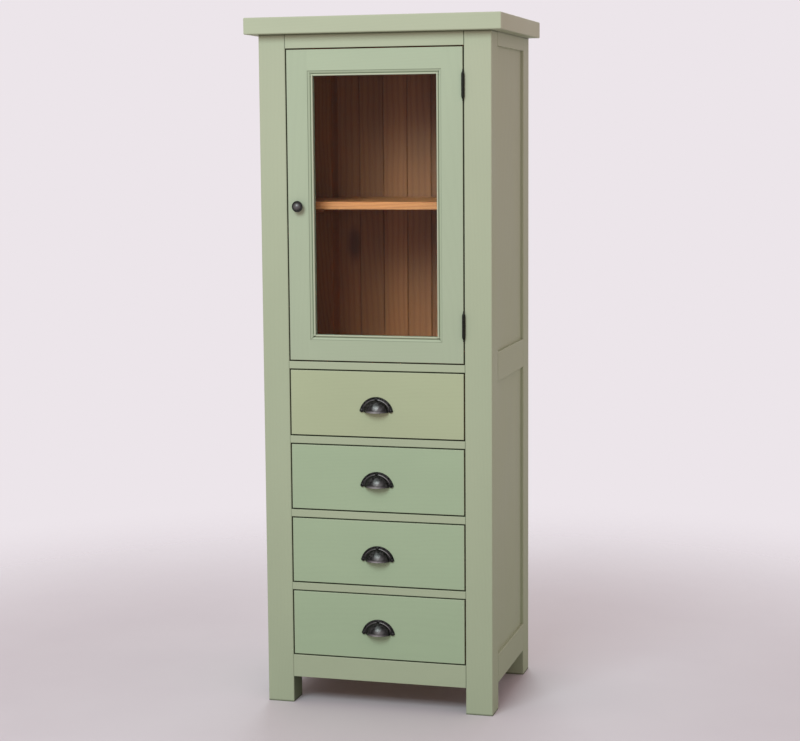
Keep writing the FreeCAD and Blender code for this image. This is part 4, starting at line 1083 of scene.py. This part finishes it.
floor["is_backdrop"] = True
print("floor reaches", FLOOR_REACH, "m")

# %% [markdown]
# A large soft lamp hangs high in front, a little to the left, and another one behind. The pale
# background is what the camera, mirrors and glass see. The light from all round is weaker and a
# little warm.

# %% Background and lamps
BACKGROUND = tone(236, 229, 234)
WARM_LIGHT, WARM_STRENGTH = (1, 0.80, 0.77, 1), 0.58
COOL_LIGHT = (0.83, 0.99, 1)
scene = bpy.context.scene
scene.view_settings.view_transform = "Standard"
world = bpy.data.worlds.new("studio")
scene.world = world
world.use_nodes = True
tree = world.node_tree
tree.nodes.clear()
shown = add(tree, "Background", {"Color": BACKGROUND, "Strength": 1})
soft = add(tree, "Background", {"Color": WARM_LIGHT, "Strength": WARM_STRENGTH})
mixed = add(tree, "MixShader", {0: seen_rays(tree), 1: soft.outputs[0], 2: shown.outputs[0]})
add(tree, "OutputWorld", {"Surface": mixed.outputs[0]})


def lamp(name, spot, aim, size, power):
    """A square soft lamp that looks from a spot at a point."""
    light = bpy.data.lights.new(name, "AREA")
    light.size = size
    light.energy = power
    light.color = COOL_LIGHT
    made = bpy.data.objects.new(name, light)
    made.location = spot
    made.rotation_euler = (Vector(aim) - Vector(spot)).to_track_quat("-Z", "Y").to_euler()
    scene.collection.objects.link(made)
    return made


lamps = [lamp("key_lamp", (-0.6, -3.7, 3.5), aim=(0, 0, 1.1), size=2, power=107),
         lamp("rear_lamp", (-0.6, 4.2, 2.6), aim=(0, 0.2, 0.9), size=2.4, power=70)]
print("lamps:", [(made.name, made.data.energy) for made in lamps])

# %% [markdown]
# The camera stands to the right of the cabinet, a little above its middle, with a longish lens.
# Its axes are worked out from three angles: how far it is turned, tipped and rolled.

# %% Camera
PIXELS_WIDE, FOCAL_PIXELS = 800, 1901.5
EYE = (1.3796, -5.0384, 1.5376)
yaw, pitch, roll = (math.radians(angle) for angle in (15.268, 7.017, 0.445))
forward = np.array([-math.sin(yaw) * math.cos(pitch), math.cos(yaw) * math.cos(pitch), -math.sin(pitch)])
level = np.array([math.cos(yaw), math.sin(yaw), 0])
down = np.cross(forward, level)
right = level * math.cos(roll) + down * math.sin(roll)
down = down * math.cos(roll) - level * math.sin(roll)
camera = bpy.data.cameras.new("studio_camera")
camera.sensor_fit = "HORIZONTAL"
camera.sensor_width = 36
camera.lens = FOCAL_PIXELS * camera.sensor_width / PIXELS_WIDE
camera.clip_end = 100
eye = bpy.data.objects.new("studio_camera", camera)
facing = Matrix(np.stack([right, -down, -forward], axis=1).tolist()).to_4x4()
eye.matrix_world = Matrix.Translation(EYE) @ facing
scene.collection.objects.link(eye)
scene.camera = eye
print("lens", round(camera.lens, 2), "mm")

# %% [markdown]
# Last, the finished model is measured.

# %% Size of the finished model
low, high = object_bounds()
